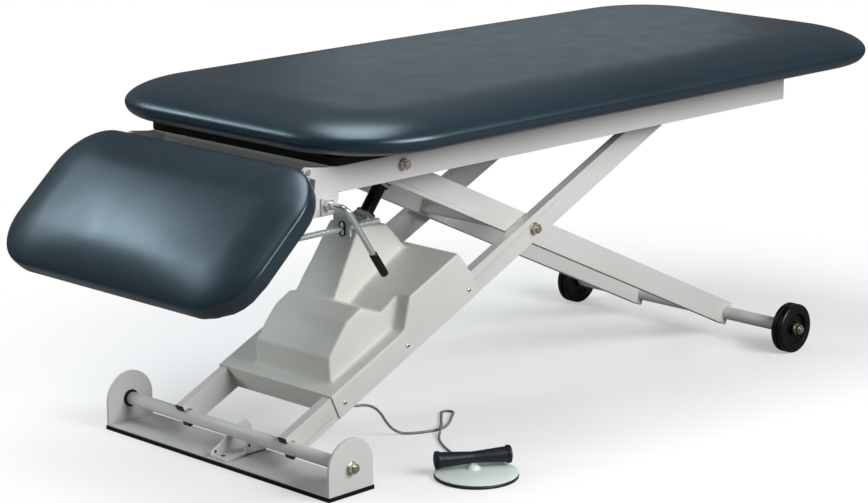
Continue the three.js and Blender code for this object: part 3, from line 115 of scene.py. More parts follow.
def surface(name, light, dark, rough, spread, clouds, grain=1.1, depth=0.0, metal=0.0, stretch=(1, 1, 1),
            relief=None, **shader):
    """A finish that drifts between two colours in clouds so many mm wide, with its gloss uneven in
    patches a seventh as wide, and a grain so many mm across and so many metres deep."""
    made = bpy.data.materials.new(name)
    made.use_nodes = True
    tree = made.node_tree
    tree.nodes.clear()
    space = add(tree, "ShaderNodeTexCoord").outputs["Object"]
    drawn = add(tree, "ShaderNodeMapping", {"Vector": space, "Scale": stretch}).outputs[0]
    drift = add(tree, "ShaderNodeTexNoise", {"Vector": drawn, "Scale": 1000 / clouds, "Detail": 4.0})
    share = add(tree, "ShaderNodeMapRange", {0: drift.outputs[0], 1: 0.35, 2: 0.65}).outputs[0]
    shades = {0: share, 6: srgb(light), 7: srgb(dark)}
    colour = add(tree, "ShaderNodeMix", shades, data_type="RGBA").outputs[2]
    uneven = add(tree, "ShaderNodeTexNoise", {"Vector": drawn, "Scale": 7000 / clouds, "Detail": 5.0})
    gloss = add(tree, "ShaderNodeMapRange",
                {0: uneven.outputs[0], 1: 0.3, 2: 0.7, 3: rough - spread, 4: rough + spread}).outputs[0]
    principled = add(tree, "ShaderNodeBsdfPrincipled", {
        "Base Color": colour, "Roughness": gloss, "Metallic": metal, **shader})
    add(tree, "ShaderNodeOutputMaterial", {"Surface": principled.outputs[0]})
    if depth:
        fine = add(tree, "ShaderNodeTexNoise", {"Vector": drawn, "Scale": 1000 / grain, "Detail": 2.0})
        bump = add(tree, "ShaderNodeBump", {"Height": fine.outputs[0], "Strength": 1.0, "Distance": depth})
        tree.links.new(bump.outputs[0], principled.inputs["Normal"])
        if relief:
            tree.links.new(relief(tree, space), bump.inputs["Normal"])
    return made


# Extruded PVC: a mid grey with a soft even shine, a little clouded along the flex
extruded_pvc = surface("extruded_pvc", "#8b908e", "#767b79", 0.33, 0.06, clouds=40, depth=0.00003)
# Moulded black ABS: nearly black, with a dull shine that breaks up in a fine spark-eroded grain
DULL = {"Specular IOR Level": 0.3}
moulded_abs = surface("moulded_abs", "#0f1011", "#0a0b0b", 0.4, 0.06, clouds=83, depth=0.00004, **DULL)


def piece(name, bm, body, finish, place=None, replaces=(), sharp=35, more=()):
    """A mesh object in the row frame that rides on a CAD body, or on none."""
    mesh = bpy.data.meshes.new(name)
    bmesh.ops.recalc_face_normals(bm, faces=bm.faces)
    bm.to_mesh(mesh)
    bm.free()
    if place:
        mesh.transform(place)
    mesh.shade_smooth()
    mesh.set_sharp_from_angle(angle=math.radians(sharp))
    for made in (finish, *more):
        mesh.materials.append(made)
    obj = bpy.data.objects.new(name, mesh)
    bpy.context.scene.collection.objects.link(obj)
    if body:
        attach(obj, body)
    if replaces:
        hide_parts(*replaces)
    return obj


def of_kind(parts, kind):
    """The vertices, edges or faces among what an operator made."""
    return [part for part in parts if isinstance(part, kind)]


def swept(line, radius, sides, bm=None):
    """A round bar: a closed circle at the line's first point, extruded from point to point. The
    radius is one number, or one for each point."""
    bm = bm or bmesh.new()
    line = [Vector(point) for point in line]
    radii = radius if hasattr(radius, "__len__") else [radius] * len(line)
    side = last = None
    for i, (point, size) in enumerate(zip(line, radii)):
        along = (line[min(i + 1, len(line) - 1)] - line[max(i - 1, 0)]).normalized()
        side = side or along.orthogonal()
        side = (side - along * side.dot(along)).normalized()
        facing = Matrix((side.cross(along), side, along)).transposed().to_4x4()
        place = Matrix.Translation(point) @ facing @ Matrix.Scale(size, 4)
        if last is None:
            disc = bmesh.ops.create_circle(bm, cap_ends=True, radius=1, segments=sides, matrix=place)
            rim = list({edge for vertex in disc["verts"] for edge in vertex.link_edges})
        else:
            grown = bmesh.ops.extrude_edge_only(bm, edges=rim)["geom"]
            ring = set(of_kind(grown, bmesh.types.BMVert))
            rim = [edge for edge in of_kind(grown, bmesh.types.BMEdge) if ring.issuperset(edge.verts)]
            bmesh.ops.transform(bm, matrix=place @ last.inverted(), verts=list(ring))
        last = place
    bmesh.ops.contextual_create(bm, geom=rim)
    return bm


def smooth_line(points, steps):
    """Points on a centripetal curve through the given ones."""
    p = [Vector(q) for q in points]
    p = [2 * p[0] - p[1], *p, 2 * p[-1] - p[-2]]
    line = []
    for a, b, c, d in zip(p, p[1:], p[2:], p[3:]):
        ta, tb, tc = ((b - a).length ** 0.5, (c - b).length ** 0.5, (d - c).length ** 0.5)
        m1 = ((b - a) / ta - (c - a) / (ta + tb) + (c - b) / tb) * tb
        m2 = ((c - b) / tb - (d - b) / (tb + tc) + (d - c) / tc) * tb
        for k in range(steps):
            t = k / steps
            line.append(b + m1 * t + (3 * (c - b) - 2 * m1 - m2) * t * t + (2 * (b - c) + m1 + m2) * t ** 3)
    return [*line, p[-2]]


pivot_x, pivot_z = 0.039, 0.0485
ARM = Matrix.Translation((pivot_x, 0, pivot_z)) @ Matrix.Rotation(-math.radians(24.9), 4, "Y")
PEDAL = Matrix.Translation((0.253, -0.366, 0)) @ Matrix.Rotation(-math.radians(29.9), 4, "Z")
gland_tip = ARM @ Vector((0.166, -0.103, -0.0243))
gland_next = ARM @ Vector((0.166, -0.103, -0.0283))
socket_next = PEDAL @ Vector((0, 0.088, 0.0042))
socket_tip = PEDAL @ Vector((0, 0.0803, 0.0042))
cord_route = [(x / 1000 + pivot_x, y / 1000, z / 1000) for x, y, z in (
    (171, -101, 82), (184, -104, 74.5), (200, -106, 72.5), (218, -106, 67), (233, -105, 58.5),
    (246, -105, 46), (257, -106, 30), (271, -108, 14), (286, -114, 4.5), (303, -126, 2.6),
    (325, -137, 2.6), (348, -144, 2.6), (372, -140, 2.6), (397, -125.5, 2.6), (418, -109.5, 2.6),
    (438.6, -94.1, 2.6), (441.7, -90.2, 2.6), (442.8, -85.4, 2.6), (441.7, -80.6, 2.6),
    (438.6, -76.7, 2.6), (434.1, -74.6, 2.6), (429.1, -74.7, 2.6), (424.7, -77, 2.6),
    (422.1, -80.2, 2.6), (405, -96.5, 2.6), (385, -116, 2.8), (366, -136, 6), (352, -147, 9.6),
    (336, -161, 6.4), (315, -179, 2.8), (295, -205, 2.6), (279, -234, 2.6), (267, -262, 2.8))]
cord_radius = 0.0024
cord_line = smooth_line([gland_tip, gland_next, *cord_route, socket_next, socket_tip], 8)
cord = piece("pedal_cord_flex", swept(cord_line, cord_radius, 14), None, extruded_pvc,
             replaces=["pedal_cord"])
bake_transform(cord)
relief_points, relief_root, relief_taper, relief_rib = 14, 0.0052, 0.0024, 0.0004
relief_radii = [relief_root - relief_taper * i / (relief_points - 1) + (relief_rib if i % 2 else 0)
                for i in range(relief_points)]
relief = piece("cord_relief", swept(cord_line[:relief_points], relief_radii, 20), "outer_frame",
               moulded_abs)
pedal_points, pedal_tip, pedal_flare = 10, 0.0029, 0.0016
pedal_radii = [pedal_tip + pedal_flare * i / (pedal_points - 1) for i in range(pedal_points)]
pedal_relief = piece("pedal_cord_relief", swept(cord_line[-pedal_points:], pedal_radii, 20), "base",
                     moulded_abs)


# Base: a steel floor plate with a D-shaped plate welded up at each end, powder coated, and on each
# end plate a yellow zinc bolt with washer and nut in a black bush, on which the lower arms turn.
# Powder-coated steel: a warm off-white, satin, with the faint orange peel of the melted powder
powder_coat = surface("powder_coated_steel", "#dadad7", "#d3d3cf", 0.42, 0.05, clouds=286, grain=1.9,
                      depth=0.00003)
# Yellow zinc plate: bright metal with a warm straw tint that varies from face to face
yellow_zinc = surface("yellow_zinc_plate", "#d3cbb9", "#b5ad9c", 0.2, 0.03, clouds=33, metal=0.85)


def round_edges(obj, width, segments=2, angle=35):
    """A small rounded edge that catches the light."""
    edge = obj.modifiers.new("edge", "BEVEL")
    edge.width = width
    edge.segments = segments
    edge.limit_method = "ANGLE"
    edge.angle_limit = math.radians(angle)
    edge.harden_normals = True


shading = bpy.data.node_groups.new("edge_finish", "GeometryNodeTree")
shading.interface.new_socket("Geometry", in_out="INPUT", socket_type="NodeSocketGeometry")
shading.interface.new_socket("Geometry", in_out="OUTPUT", socket_type="NodeSocketGeometry")
given = add(shading, "NodeGroupInput")
merged = add(shading, "GeometryNodeMergeByDistance", {0: given.outputs[0], "Distance": 0.00001})
bend_angle = add(shading, "GeometryNodeInputMeshEdgeAngle").outputs[0]
is_sharp = add(shading, "FunctionNodeCompare", {0: bend_angle, 1: math.radians(32)},
               operation="GREATER_THAN").outputs[0]
shaded = add(shading, "GeometryNodeSetMeshNormal", {0: merged.outputs[0], "Edge Sharpness": is_sharp},
             mode="SHARPNESS")
add(shading, "NodeGroupOutput", {0: shaded.outputs[0]})


def dress(names, finish, edge):
    """Gives CAD nodes a finish, smooth shading between their sharp edges, and edges rounded by so much."""
    for name in names:
        node = frame["nodes"][name]
        node.material_slots[0].link = "OBJECT"
        node.material_slots[0].material = finish
        node.modifiers.new("finish", "NODES").node_group = shading
        round_edges(node, edge)


sheet_edge, bolt_edge, moulded_edge = 0.0009, 0.0004, 0.0006
dress(("floor_plate", "end_plate_near", "end_plate_far"), powder_coat, sheet_edge)
dress(("base_bolt_near", "base_bolt_far"), yellow_zinc, bolt_edge)
dress(("base_bush_near", "base_bush_far"), moulded_abs, moulded_edge)


# Rubber edging: one ring of black moulded strips glued under the floor plate, so that the base
# doesn't slide or mark the floor. A thin lip stands up round the plate's edge. The lip and the strips
# under the end plates are also painted shadow: their black stands in for the contact shadow along
# the plate's lower edge.
# Moulded rubber: black with a broad dull shine, and small pits from the mould
moulded_rubber = surface("moulded_rubber", "#0d0e0f", "#08090a", 0.34, 0.08, clouds=45, grain=2.4,
                         depth=0.00005, **DULL)


def plate(bm, outline, y0, y1):
    """A plate across the table: its outline of (x, z) as one face, extruded from one Y to the other."""
    near = [bm.verts.new((x, y0, z)) for x, z in outline]
    grown = bmesh.ops.extrude_face_region(bm, geom=[bm.faces.new(near)])["geom"]
    far = of_kind(grown, bmesh.types.BMVert)
    bmesh.ops.translate(bm, vec=(0, y1 - y0, 0), verts=far)
    return near + far


plate_half, strip_inner, strip_height, strip_width = 0.0502, 0.028, 0.005, 0.022
lip_wall, lip_top, strip_gap, base_end = 0.0012, 0.0074, 0.0002, 0.287
strip_outer = plate_half + lip_wall
edging_and_shade_bm = bmesh.new()
for side in (-1, 1):
    across = ((strip_outer, 0), (strip_outer, lip_top), (plate_half, lip_top), (plate_half, strip_height),
              (strip_inner, strip_height), (strip_inner, 0))
    plate(edging_and_shade_bm, [(pivot_x + side * x, z) for x, z in across], -base_end, base_end)
    for reach, top, y0, y1 in (
            (strip_inner - strip_gap, strip_height, base_end - strip_width, base_end),
            (strip_outer, lip_top, base_end + strip_gap, base_end + strip_gap + lip_wall)):
        plate(edging_and_shade_bm, ((pivot_x - reach, 0), (pivot_x + reach, 0), (pivot_x + reach, top),
                         (pivot_x - reach, top)), side * y0, side * y1)
round_edges(piece("rubber_edging_and_edge_shade", edging_and_shade_bm, "base", moulded_rubber,
                  replaces=["rubber_strip_front", "rubber_strip_rear"]), 0.0004)


# Lower pivot tube: drawn steel tube, powder coated, welded through the lower ends of both outer
# arms. It turns on the bolts of the two end plates.
def spun(profile, steps, place=None, bm=None):
    """A body spun round its own Z from a profile of (radius, height)."""
    bm = bm or bmesh.new()
    place = place or Matrix.Identity(4)
    points = [bm.verts.new(place @ Vector((radius, 0, height))) for radius, height in profile]
    edges = [bm.edges.new(pair) for pair in zip(points, points[1:])]
    bmesh.ops.spin(bm, geom=points + edges, cent=place.translation, axis=place.to_3x3() @ Vector((0, 0, 1)),
                   dvec=(0, 0, 0), angle=2 * math.pi, steps=steps, use_merge=True)
    bmesh.ops.remove_doubles(bm, verts=bm.verts, dist=0.000001)
    return bm


tube_half, tube_radius, tube_bore, tube_round = 0.2784, 0.0116, 0.0092, 0.0006
across_table = Matrix.Rotation(math.pi / 2, 4, "X")
tube_bm = spun(((tube_bore, -tube_half), (tube_radius - tube_round, -tube_half),
                (tube_radius, -tube_half + tube_round), (tube_radius, tube_half - tube_round),
                (tube_radius - tube_round, tube_half), (tube_bore, tube_half), (tube_bore, -tube_half)), 64,
               across_table)
piece("pivot_tube_welded", tube_bm, "outer_frame", powder_coat, ARM,
      replaces=["lower_pivot_tube"], sharp=60)


# Tube cradle: one powder-coated steel bracket on the floor plate, folded to a long ear behind and a
# short one in front of its flat foot. Two blackened countersunk screws hold it. The holes in the
# ears are flat dark discs of painted shade.
# Blackened steel: dark oxide with a low metallic shine. It also paints the shade in the cradle's holes and
# the cover screws' cross recesses.
blackened_steel_and_hollow_shade = surface("blackened_steel_and_hollow_shade", "#232423", "#171817", 0.3, 0.05, clouds=40, metal=0.5)
on_pivot = Matrix.Translation((pivot_x, 0, 0))
cradle_low, cradle_half, cradle_wall = 0.0096, 0.046, 0.0035
foot_top = cradle_low + cradle_wall
cradle_rear, cradle_front, cradle_screw_y = 0.014, -0.027, -0.0065
cradle_bm = bmesh.new()
plate(cradle_bm, ((-cradle_half, cradle_low), (cradle_half, cradle_low), (cradle_half, foot_top),
                  (-cradle_half, foot_top)), cradle_front, cradle_rear)
plate(cradle_bm, ((-cradle_half, cradle_low), (cradle_half, cradle_low), (cradle_half, 0.0476),
                  (0.035, 0.0616), (-cradle_half, 0.0186)), cradle_rear - cradle_wall, cradle_rear)
plate(cradle_bm, ((-0.004, cradle_low), (cradle_half, cradle_low), (cradle_half, 0.0186), (0.022, 0.0350),
                  (0.004, 0.0336)), cradle_front, cradle_front + cradle_wall)
cradle = piece("cradle_bracket", cradle_bm, "base", powder_coat, on_pivot,
               replaces=["tube_cradle"])
round_edges(cradle, 0.0008)
# Dark discs on the ear faces paint the shade of the holes; the countersunk screw heads on the foot are
# real.
screw_and_hole_shade_bm = bmesh.new()
for x, y, z in ((-0.036, cradle_rear - cradle_wall, 0.0176), (0.008, cradle_front, 0.0262)):
    spun(((0, -0.0002), (0.0026, -0.0002), (0.0026, 0.0004), (0, 0.0004)), 24,
         Matrix.Translation((x, y, z)) @ across_table, screw_and_hole_shade_bm)
for x in (-0.034, 0.034):
    spun(((0, foot_top - 0.0006), (0.0042, foot_top - 0.0006), (0.0042, foot_top + 0.0004),
          (0.0034, foot_top + 0.0008), (0, foot_top + 0.0008)), 24,
         Matrix.Translation((x, cradle_screw_y, 0)), screw_and_hole_shade_bm)
piece("cradle_screws_and_hole_shade", screw_and_hole_shade_bm, "base", blackened_steel_and_hollow_shade, on_pivot, sharp=50)


# Outer arms: two powder-coated rectangular steel tubes with the actuator's lower bracket between
# them, yellow zinc bolts at their middle, the rollers' bright shaft at the top and the control box.
# Bright zinc plate: a clean blue-white metal with sharp highlights
bright_zinc = surface("bright_zinc_plate", "#eceff0", "#dde1e3", 0.2, 0.02, clouds=62, metal=0.82)
dress(("outer_arm_near", "outer_arm_far", "actuator_mount"), powder_coat, sheet_edge)
dress(("middle_bolt_near", "middle_bolt_far"), yellow_zinc, bolt_edge)
dress(("roller_shaft",), bright_zinc, bolt_edge)
dress(("control_box",), moulded_abs, moulded_edge)

# Arm end caps: moulded plugs pushed into the open lower ends of the outer arms, above and below the
# pivot tube, each with a thin flange that shows as a black edge. Their black is also painted shade:
# it stands in for the dark open ends above the tube and the shaded arm corners below it.
cap_and_shade_bm = bmesh.new()
for side in (-1, 1):
    for low, high, outline in (
            (0.1233, 0.1417, ((-0.0052, 0.0128), (-0.0033, 0.0133), (-0.0033, 0.0229), (-0.0052, 0.0226))),
            (0.1259, 0.1391, ((-0.0034, 0.0138), (0.012, 0.0138), (0.012, 0.0202), (-0.0034, 0.0202))),
            (0.1233, 0.1417, ((-0.0045, -0.0215), (0.0085, -0.0215), (0.0085, -0.0127),
                              (-0.0045, -0.0127)))):
        plate(cap_and_shade_bm, outline, side * low, side * high)
round_edges(piece("arm_end_caps_and_shade", cap_and_shade_bm, "outer_frame", moulded_abs, ARM), moulded_edge)


# Actuator: a zinc-plated steel tube with a moulded motor housing and a black rod, pinned to the
# lower bracket. It pushes the slotted lugs of the inner arms and so lifts the table.
dress(("actuator_tube",), bright_zinc, bolt_edge)
dress(("actuator_motor",), moulded_abs, moulded_edge)
dress(("actuator_rod",), blackened_steel_and_hollow_shade, bolt_edge)

# Actuator head: a turned zinc collar with hex flats screwed on the tube's end, sloping in to a
# black wiper ring that keeps dust off the rod. Both stay clear of the lugs when the rod is in.
rod_line = Matrix.Translation((0.130, 0.023, -0.006)) @ Matrix.Rotation(-math.radians(27.0), 4, "Y")
along_rod = Matrix.Rotation(math.pi / 2, 4, "Y")
collar_bm = spun(((0.0135, 0.3300), (0.0244, 0.3300), (0.0252, 0.3310), (0.0252, 0.3376), (0.0244, 0.3388),
                  (0.0186, 0.3484), (0.0135, 0.3484), (0.0135, 0.3300)), 6, along_rod)
piece("actuator_collar", collar_bm, "actuator", bright_zinc, ARM @ rod_line, sharp=25)
wiper_bm = spun(((0.0131, 0.3486), (0.0176, 0.3486), (0.0178, 0.3490), (0.0178, 0.3506), (0.0168, 0.3511),
                 (0.0131, 0.3511), (0.0131, 0.3486)), 48, along_rod)
piece("actuator_wiper", wiper_bm, "actuator", moulded_abs, ARM @ rod_line,
      replaces=["actuator_end_cap"], sharp=40)


# Actuator cover: one vacuum-formed shell of grained grey ABS over the lower arms, with soft
# mouldings over the motor, gearbox and rod, a side skirt on each arm, and a round hole for the rod.
# Grained ABS: a cool pale grey, duller than the paint, with a fine leather grain from the sheet
grained_abs = surface("grained_abs", "#dadbd4", "#d2d4cc", 0.5, 0.06, clouds=200, depth=0.00004)
skirt_low, deck, cover_half, cover_wall = -0.021, 0.0263, 0.1453, 0.0022
cover_front, cover_rear = 0.112, 0.487
bump_outline = ((0.138, 0.0), (0.138, deck), (0.155, 0.067), (0.219, 0.099), (0.259, 0.102), (0.293, 0.068),
                (0.341, 0.074), (0.475, 0.074), (0.484, 0.044), (0.484, 0.0))
near_box = ((0.303, 0.0), (0.303, deck), (0.341, 0.074), (0.475, 0.074), (0.484, 0.044), (0.484, 0.0))
far_box = ((0.303, 0.0), (0.303, deck), (0.318, 0.09), (0.462, 0.09), (0.484, 0.044), (0.484, 0.0))
tower = ((0.262, 0.0, -0.034), (0.262, 0.092, -0.034), (0.390, 0.166, -0.015), (0.449, 0.130, -0.015),
         (0.462, 0.060, -0.034), (0.462, 0.0, -0.034))
tower_far, tower_far_top, mould_draft = 0.066, 0.061, 0.004
cover_bm = bmesh.new()


def moulding(outline, y0, y1, draft=0.0):
    """One block of the cover's mould, its sides drawn in by the draft towards its top."""
    top = max(z for _, z in outline)
    for vertex in plate(cover_bm, outline, y0, y1):
        lean = draft * max(vertex.co.z - deck, 0) / top
        vertex.co.y -= math.copysign(lean, vertex.co.y - (y0 + y1) / 2)


moulding(((0.095, -0.04), (0.095, deck), (0.505, deck), (0.505, -0.04)), -cover_half, cover_half)
moulding(bump_outline, -0.117, 0.073, mould_draft)
moulding(near_box, -cover_half, 0.073)
moulding(far_box, 0.03, 0.092, mould_draft)
tower_face = cover_bm.faces.new([cover_bm.verts.new((x, y, z)) for x, z, y in tower])
grown = bmesh.ops.extrude_face_region(cover_bm, geom=[tower_face])["geom"]
for vertex in of_kind(grown, bmesh.types.BMVert):
    vertex.co.y = tower_far if vertex.co.y < -0.02 else tower_far_top
cover = piece("actuator_cover_shell", cover_bm, "outer_frame", grained_abs,
              replaces=["actuator_cover"])
blend = cover.modifiers.new("blend", "REMESH")
blend.mode = "VOXEL"
blend.voxel_size = 0.0032
soften = cover.modifiers.new("soften", "SMOOTH")
soften.factor = 0.5
soften.iterations = 4


def settle(obj):
    """Applies an object's modifiers to its mesh."""
    shape = obj.evaluated_get(bpy.context.evaluated_depsgraph_get())
    mesh = bpy.data.meshes.new_from_object(shape)
    obj.modifiers.clear()
    obj.data = mesh


settle(cover)
cover_bm = bmesh.new()
cover_bm.from_mesh(cover.data)
for point, normal in (((cover_front, 0, 0), (-1, 0, 0)), ((cover_rear, 0, 0), (1, 0, 0)),
                      ((0, 0, skirt_low), (0, 0, -1))):
    parts = cover_bm.verts[:] + cover_bm.edges[:] + cover_bm.faces[:]
    bmesh.ops.bisect_plane(cover_bm, geom=parts, plane_co=point, plane_no=normal, clear_outer=True)
to_rod = rod_line.inverted()
hole_start, hole_end, hole_radius = 0.28, 0.46, 0.0272
gone = [face for face in cover_bm.faces
        if math.hypot(*(to_rod @ face.calc_center_median())[1:]) < hole_radius - 0.0007
        and hole_start < (to_rod @ face.calc_center_median()).x < hole_end]
bmesh.ops.delete(cover_bm, geom=gone, context="FACES")
for vertex in cover_bm.verts:
    local = to_rod @ vertex.co
    away = math.hypot(local.y, local.z)
    if vertex.is_boundary and hole_start < local.x < hole_end and away < hole_radius * 1.25:
        scale = hole_radius / away
        vertex.co = rod_line @ Vector((local.x, local.y * scale, local.z * scale))
cover_bm.to_mesh(cover.data)
cover_bm.free()
wall = cover.modifiers.new("wall", "SOLIDIFY")
wall.thickness = cover_wall
wall.offset = -1
settle(cover)
cover.data.transform(ARM)
cover.data.shade_smooth()
cover.data.set_sharp_from_angle(angle=math.radians(50))

# Front lip of the cover: the shell's front edge, turned down between the arms to just under their
# top, with its far corner clipped.
lip_bm = bmesh.new()
lip_half, lip_low, lip_high, lip_clip, lip_depth = 0.1227, 0.002, 0.0235, 0.012, 0.0028
lip_face = lip_bm.faces.new([lip_bm.verts.new((cover_front, y, z)) for y, z in (
    (-lip_half, lip_high), (-lip_half, lip_low), (lip_half - lip_clip, lip_low),
    (lip_half, lip_low + lip_clip), (lip_half, lip_high))])
grown = bmesh.ops.extrude_face_region(lip_bm, geom=[lip_face])["geom"]
bmesh.ops.translate(lip_bm, vec=(lip_depth, 0, 0), verts=of_kind(grown, bmesh.types.BMVert))
round_edges(piece("cover_front_lip", lip_bm, "outer_frame", grained_abs, ARM), 0.0008, 3)

# Cover screws: three zinc-plated pan heads a side with a cross recess, that hold the skirts to the
# arms. Each recess is drawn as a dark cross of painted shade, sunk in the head.
screw_places, screw_z, head_radius = (0.133, 0.2995, 0.4686), -0.002, 0.0042
screw_bm = bmesh.new()
recess_shade_bm = bmesh.new()
for side in (-1, 1):
    for along in screw_places:
        spot = Matrix.Translation((along, side * (cover_half - 0.0002), screw_z))
        spun(((0, 0), (head_radius, 0), (head_radius, 0.0007), (0.0034, 0.0017), (0.0021, 0.0023),
              (0, 0.0025)), 24, spot @ Matrix.Rotation(-side * math.pi / 2, 4, "X"), screw_bm)
        for long, short in ((0.0024, 0.0005), (0.0005, 0.0024)):
            plate(recess_shade_bm, ((along - long, screw_z - short), (along + long, screw_z - short),
                             (along + long, screw_z + short), (along - long, screw_z + short)),
                  side * (cover_half + 0.0016), side * (cover_half + 0.00235))
piece("cover_screws", screw_bm, "outer_frame", bright_zinc, ARM, sharp=50)
piece("cover_screw_recess_shade", recess_shade_bm, "outer_frame", blackened_steel_and_hollow_shade, ARM)


# Inner arms: two powder-coated rectangular steel tubes joined by a round pivot tube at the top, a
# brace at the middle, the cross tube with the actuator's lugs, and the axle tube of the wheels.
dress(("inner_arm_near", "inner_arm_far", "top_pivot_tube", "inner_brace", "axle_tube", "rod_cross_tube"),
      powder_coat, sheet_edge)
dress(("axle_bolt_near", "axle_bolt_far"), yellow_zinc, bolt_edge)

# Wheels and rollers: a moulded rubber tyre on a dished black hub at each end of the axle tube, and
# a plain black roller in each side rail at the top of the outer arms.
dress(("wheel_tyre_near", "wheel_tyre_far"), moulded_rubber, moulded_edge)
dress(("wheel_hub_near", "wheel_hub_far", "roller_near", "roller_far"), moulded_abs, moulded_edge)


# Top frame: two folded steel rails and three cross members, powder coated, with yellow zinc bolts
# and hinge pins. A black plywood board is screwed on top, and a plated bracket hangs from the near rail.
# Black-stained plywood: matt black with the long grain of the top ply, 7 mm wide and 60 mm long
stained_plywood = surface("black_stained_plywood", "#0b0b0b", "#060606", 0.6, 0.08, clouds=200, grain=7,
                          depth=0.0001, stretch=(0.12, 1, 1), **DULL)
# Dull zinc plate: pale and nearly white, with a broad soft sheen
dull_zinc = surface("dull_zinc_plate", "#e4e8e5", "#d6dad7", 0.4, 0.04, clouds=45, metal=0.1)
board_edge = 0.0012
dress(("side_rail_near", "side_rail_far", "cross_member_front", "cross_member_rear"), powder_coat,
      sheet_edge)
dress(("top_bolt_near", "top_bolt_far", "drop_hinge_pin_near", "drop_hinge_pin_far"), yellow_zinc,
      bolt_edge)
dress(("platform_board",), stained_plywood, board_edge)
dress(("clamp_bracket",), dull_zinc, bolt_edge)


# Main cushion: foam on a plywood base under one smooth vinyl cover, rolled over the edges and
# stapled below, so it has no seam and gathers a little under its round corners. A black dust cloth
# closes its underside.
def leather_relief(tree, space):
    """Pebbles 1.6 mm across under the vinyl's pores, and a slow swell of the foam over 143 mm."""
    cells = add(tree, "ShaderNodeTexVoronoi", {"Vector": space, "Scale": 1000 / 1.6},
                feature="DISTANCE_TO_EDGE")
    pebble = add(tree, "ShaderNodeMapRange", {0: cells.outputs["Distance"], 1: 0.0, 2: 0.16}).outputs[0]
    first = add(tree, "ShaderNodeBump", {"Height": pebble, "Strength": 0.5, "Distance": 0.00005})
    slow = add(tree, "ShaderNodeTexNoise", {"Vector": space, "Scale": 1000 / 143, "Detail": 2.0}).outputs[0]
    second = add(tree, "ShaderNodeBump", {"Height": slow, "Strength": 0.6, "Distance": 0.0005,
                                          "Normal": first.outputs[0]})
    return second.outputs[0]


def weave_relief(tree, space):
    """Crossed threads 1.2 mm apart. A wave of scale 1 repeats every 314 mm."""
    bands = [add(tree, "ShaderNodeTexWave", {"Vector": space, "Scale": 314 / 1.2}, bands_direction=axis)
             for axis in ("X", "Y")]
    cloth = add(tree, "ShaderNodeMath", {0: bands[0].outputs[1], 1: bands[1].outputs[1]},
                operation="MULTIPLY").outputs[0]
    threads = add(tree, "ShaderNodeBump", {"Height": cloth, "Strength": 0.8, "Distance": 0.0002})
    return threads.outputs[0]


# Embossed vinyl: deep slate blue with a soft cool sheen, pores 0.7 mm across and a fine pebble
embossed_vinyl = surface("embossed_vinyl", "#1a2831", "#16232b", 0.31, 0.03, clouds=400, grain=0.7,
                         depth=0.00002, relief=leather_relief,
                         **{"Specular Tint": (0.7, 0.9, 1.0, 1.0), "Specular IOR Level": 0.85})
# Woven dust cloth: matt black, its threads drawn as coarse as they need to show. On the main cushion it
# also covers the step just above the seat, where its black is painted shade on the vinyl.
cloth_and_step_shade = surface("woven_cloth_and_step_shade", "#0e0e0f", "#080809", 0.85, 0.05, clouds=111, depth=0.00004,
                     relief=weave_relief)


def roll_steps(pad, low):
    """How far in and how high each ring of the upper roll lies, a soft quarter round."""
    nose = low + pad["lift"] + pad["nose"]
    rise = pad["thick"] - pad["nose"] - pad["crown"]
    for i in range(1, 21):
        share = (i / 20) ** 1.7
        yield pad["roll"] * share, nose + rise * (1 - (1 - share) ** pad["power"]) ** (1 / pad["power"])


def under_steps(pad, low):
    """How far in and how low each ring below the nose lies, down to the seat on the board."""
    nose = low + pad["lift"] + pad["nose"]
    for i in range(1, 9):
        a = math.pi / 2 * i / 8
        yield pad["under"] * (1 - math.cos(a)), nose - pad["nose"] * math.sin(a)
    if pad["lift"]:
        yield pad["seat"] - 0.002, low + pad["lift"]
    yield pad["seat"], low


def cushion_form(pad, low):
    """A cushion's form: its rounded outline, inset ring by ring into the roll above and below, its
    top cut into an even grid and raised to a crown."""
    bm = bmesh.new()
    nose = low + pad["lift"] + pad["nose"]
    rise = pad["thick"] - pad["nose"] - pad["crown"]
    length = pad["rear"] - pad["front"]
    cell = 0.02
    for steps in (roll_steps, under_steps):
        corners = [bm.verts.new((x, y, nose)) for x, y in (
            (pad["front"], -pad["half"]), (pad["rear"], -pad["half"]), (pad["rear"], pad["half"]),
            (pad["front"], pad["half"]))]
        bm.faces.new(corners)
        for pair, radius in ((corners[1:3], pad["rear_radius"]), (corners[::3], pad["front_radius"])):
            bmesh.ops.bevel(bm, geom=pair, offset=radius, segments=14, profile=0.5, affect="VERTICES",
                            material=-1)
        cap = [face for face in bm.faces if len(face.verts) > 40][0]
        for edge in [edge for edge in cap.edges if edge.calc_length() > 0.08]:
            lengthwise = abs(edge.verts[0].co.y - edge.verts[1].co.y) < 0.000001
            bmesh.ops.subdivide_edges(bm, edges=[edge], cuts=43 if lengthwise else 15)
        reached = 0
        for away, z in steps(pad, low):
            bmesh.ops.inset_region(bm, faces=[cap], thickness=away - reached, use_boundary=True,
                                   use_even_offset=True)
            for vertex in cap.verts:
                vertex.co.z = z
            reached = away
        grid = [cap] if steps is roll_steps else []
        for start, end, normal in ((pad["front"], pad["rear"], Vector((1, 0, 0))),
                                   (-pad["half"], pad["half"], Vector((0, 1, 0)))):
            count = round((end - start) / cell)
            for i in range(1, count if grid else 0):
                parts = list({part for face in grid for part in (face, *face.edges, *face.verts)})
                at = normal * (start + (end - start) * i / count)
                cut = bmesh.ops.bisect_plane(bm, geom=parts, plane_co=at, plane_no=normal)
                grid = of_kind(cut["geom"], bmesh.types.BMFace)
    bmesh.ops.remove_doubles(bm, verts=bm.verts, dist=0.00001)
    for vertex in bm.verts:
        x, y, z = vertex.co
        across = (1 - (2 * (x - pad["front"]) / length - 1) ** 2) * (1 - (y / pad["half"]) ** 2)
        share = min(max((z - nose) / rise, 0), 1)
        vertex.co.z += pad["crown"] * share * max(across, 0)
    bmesh.ops.recalc_face_normals(bm, faces=bm.faces)
    return bm


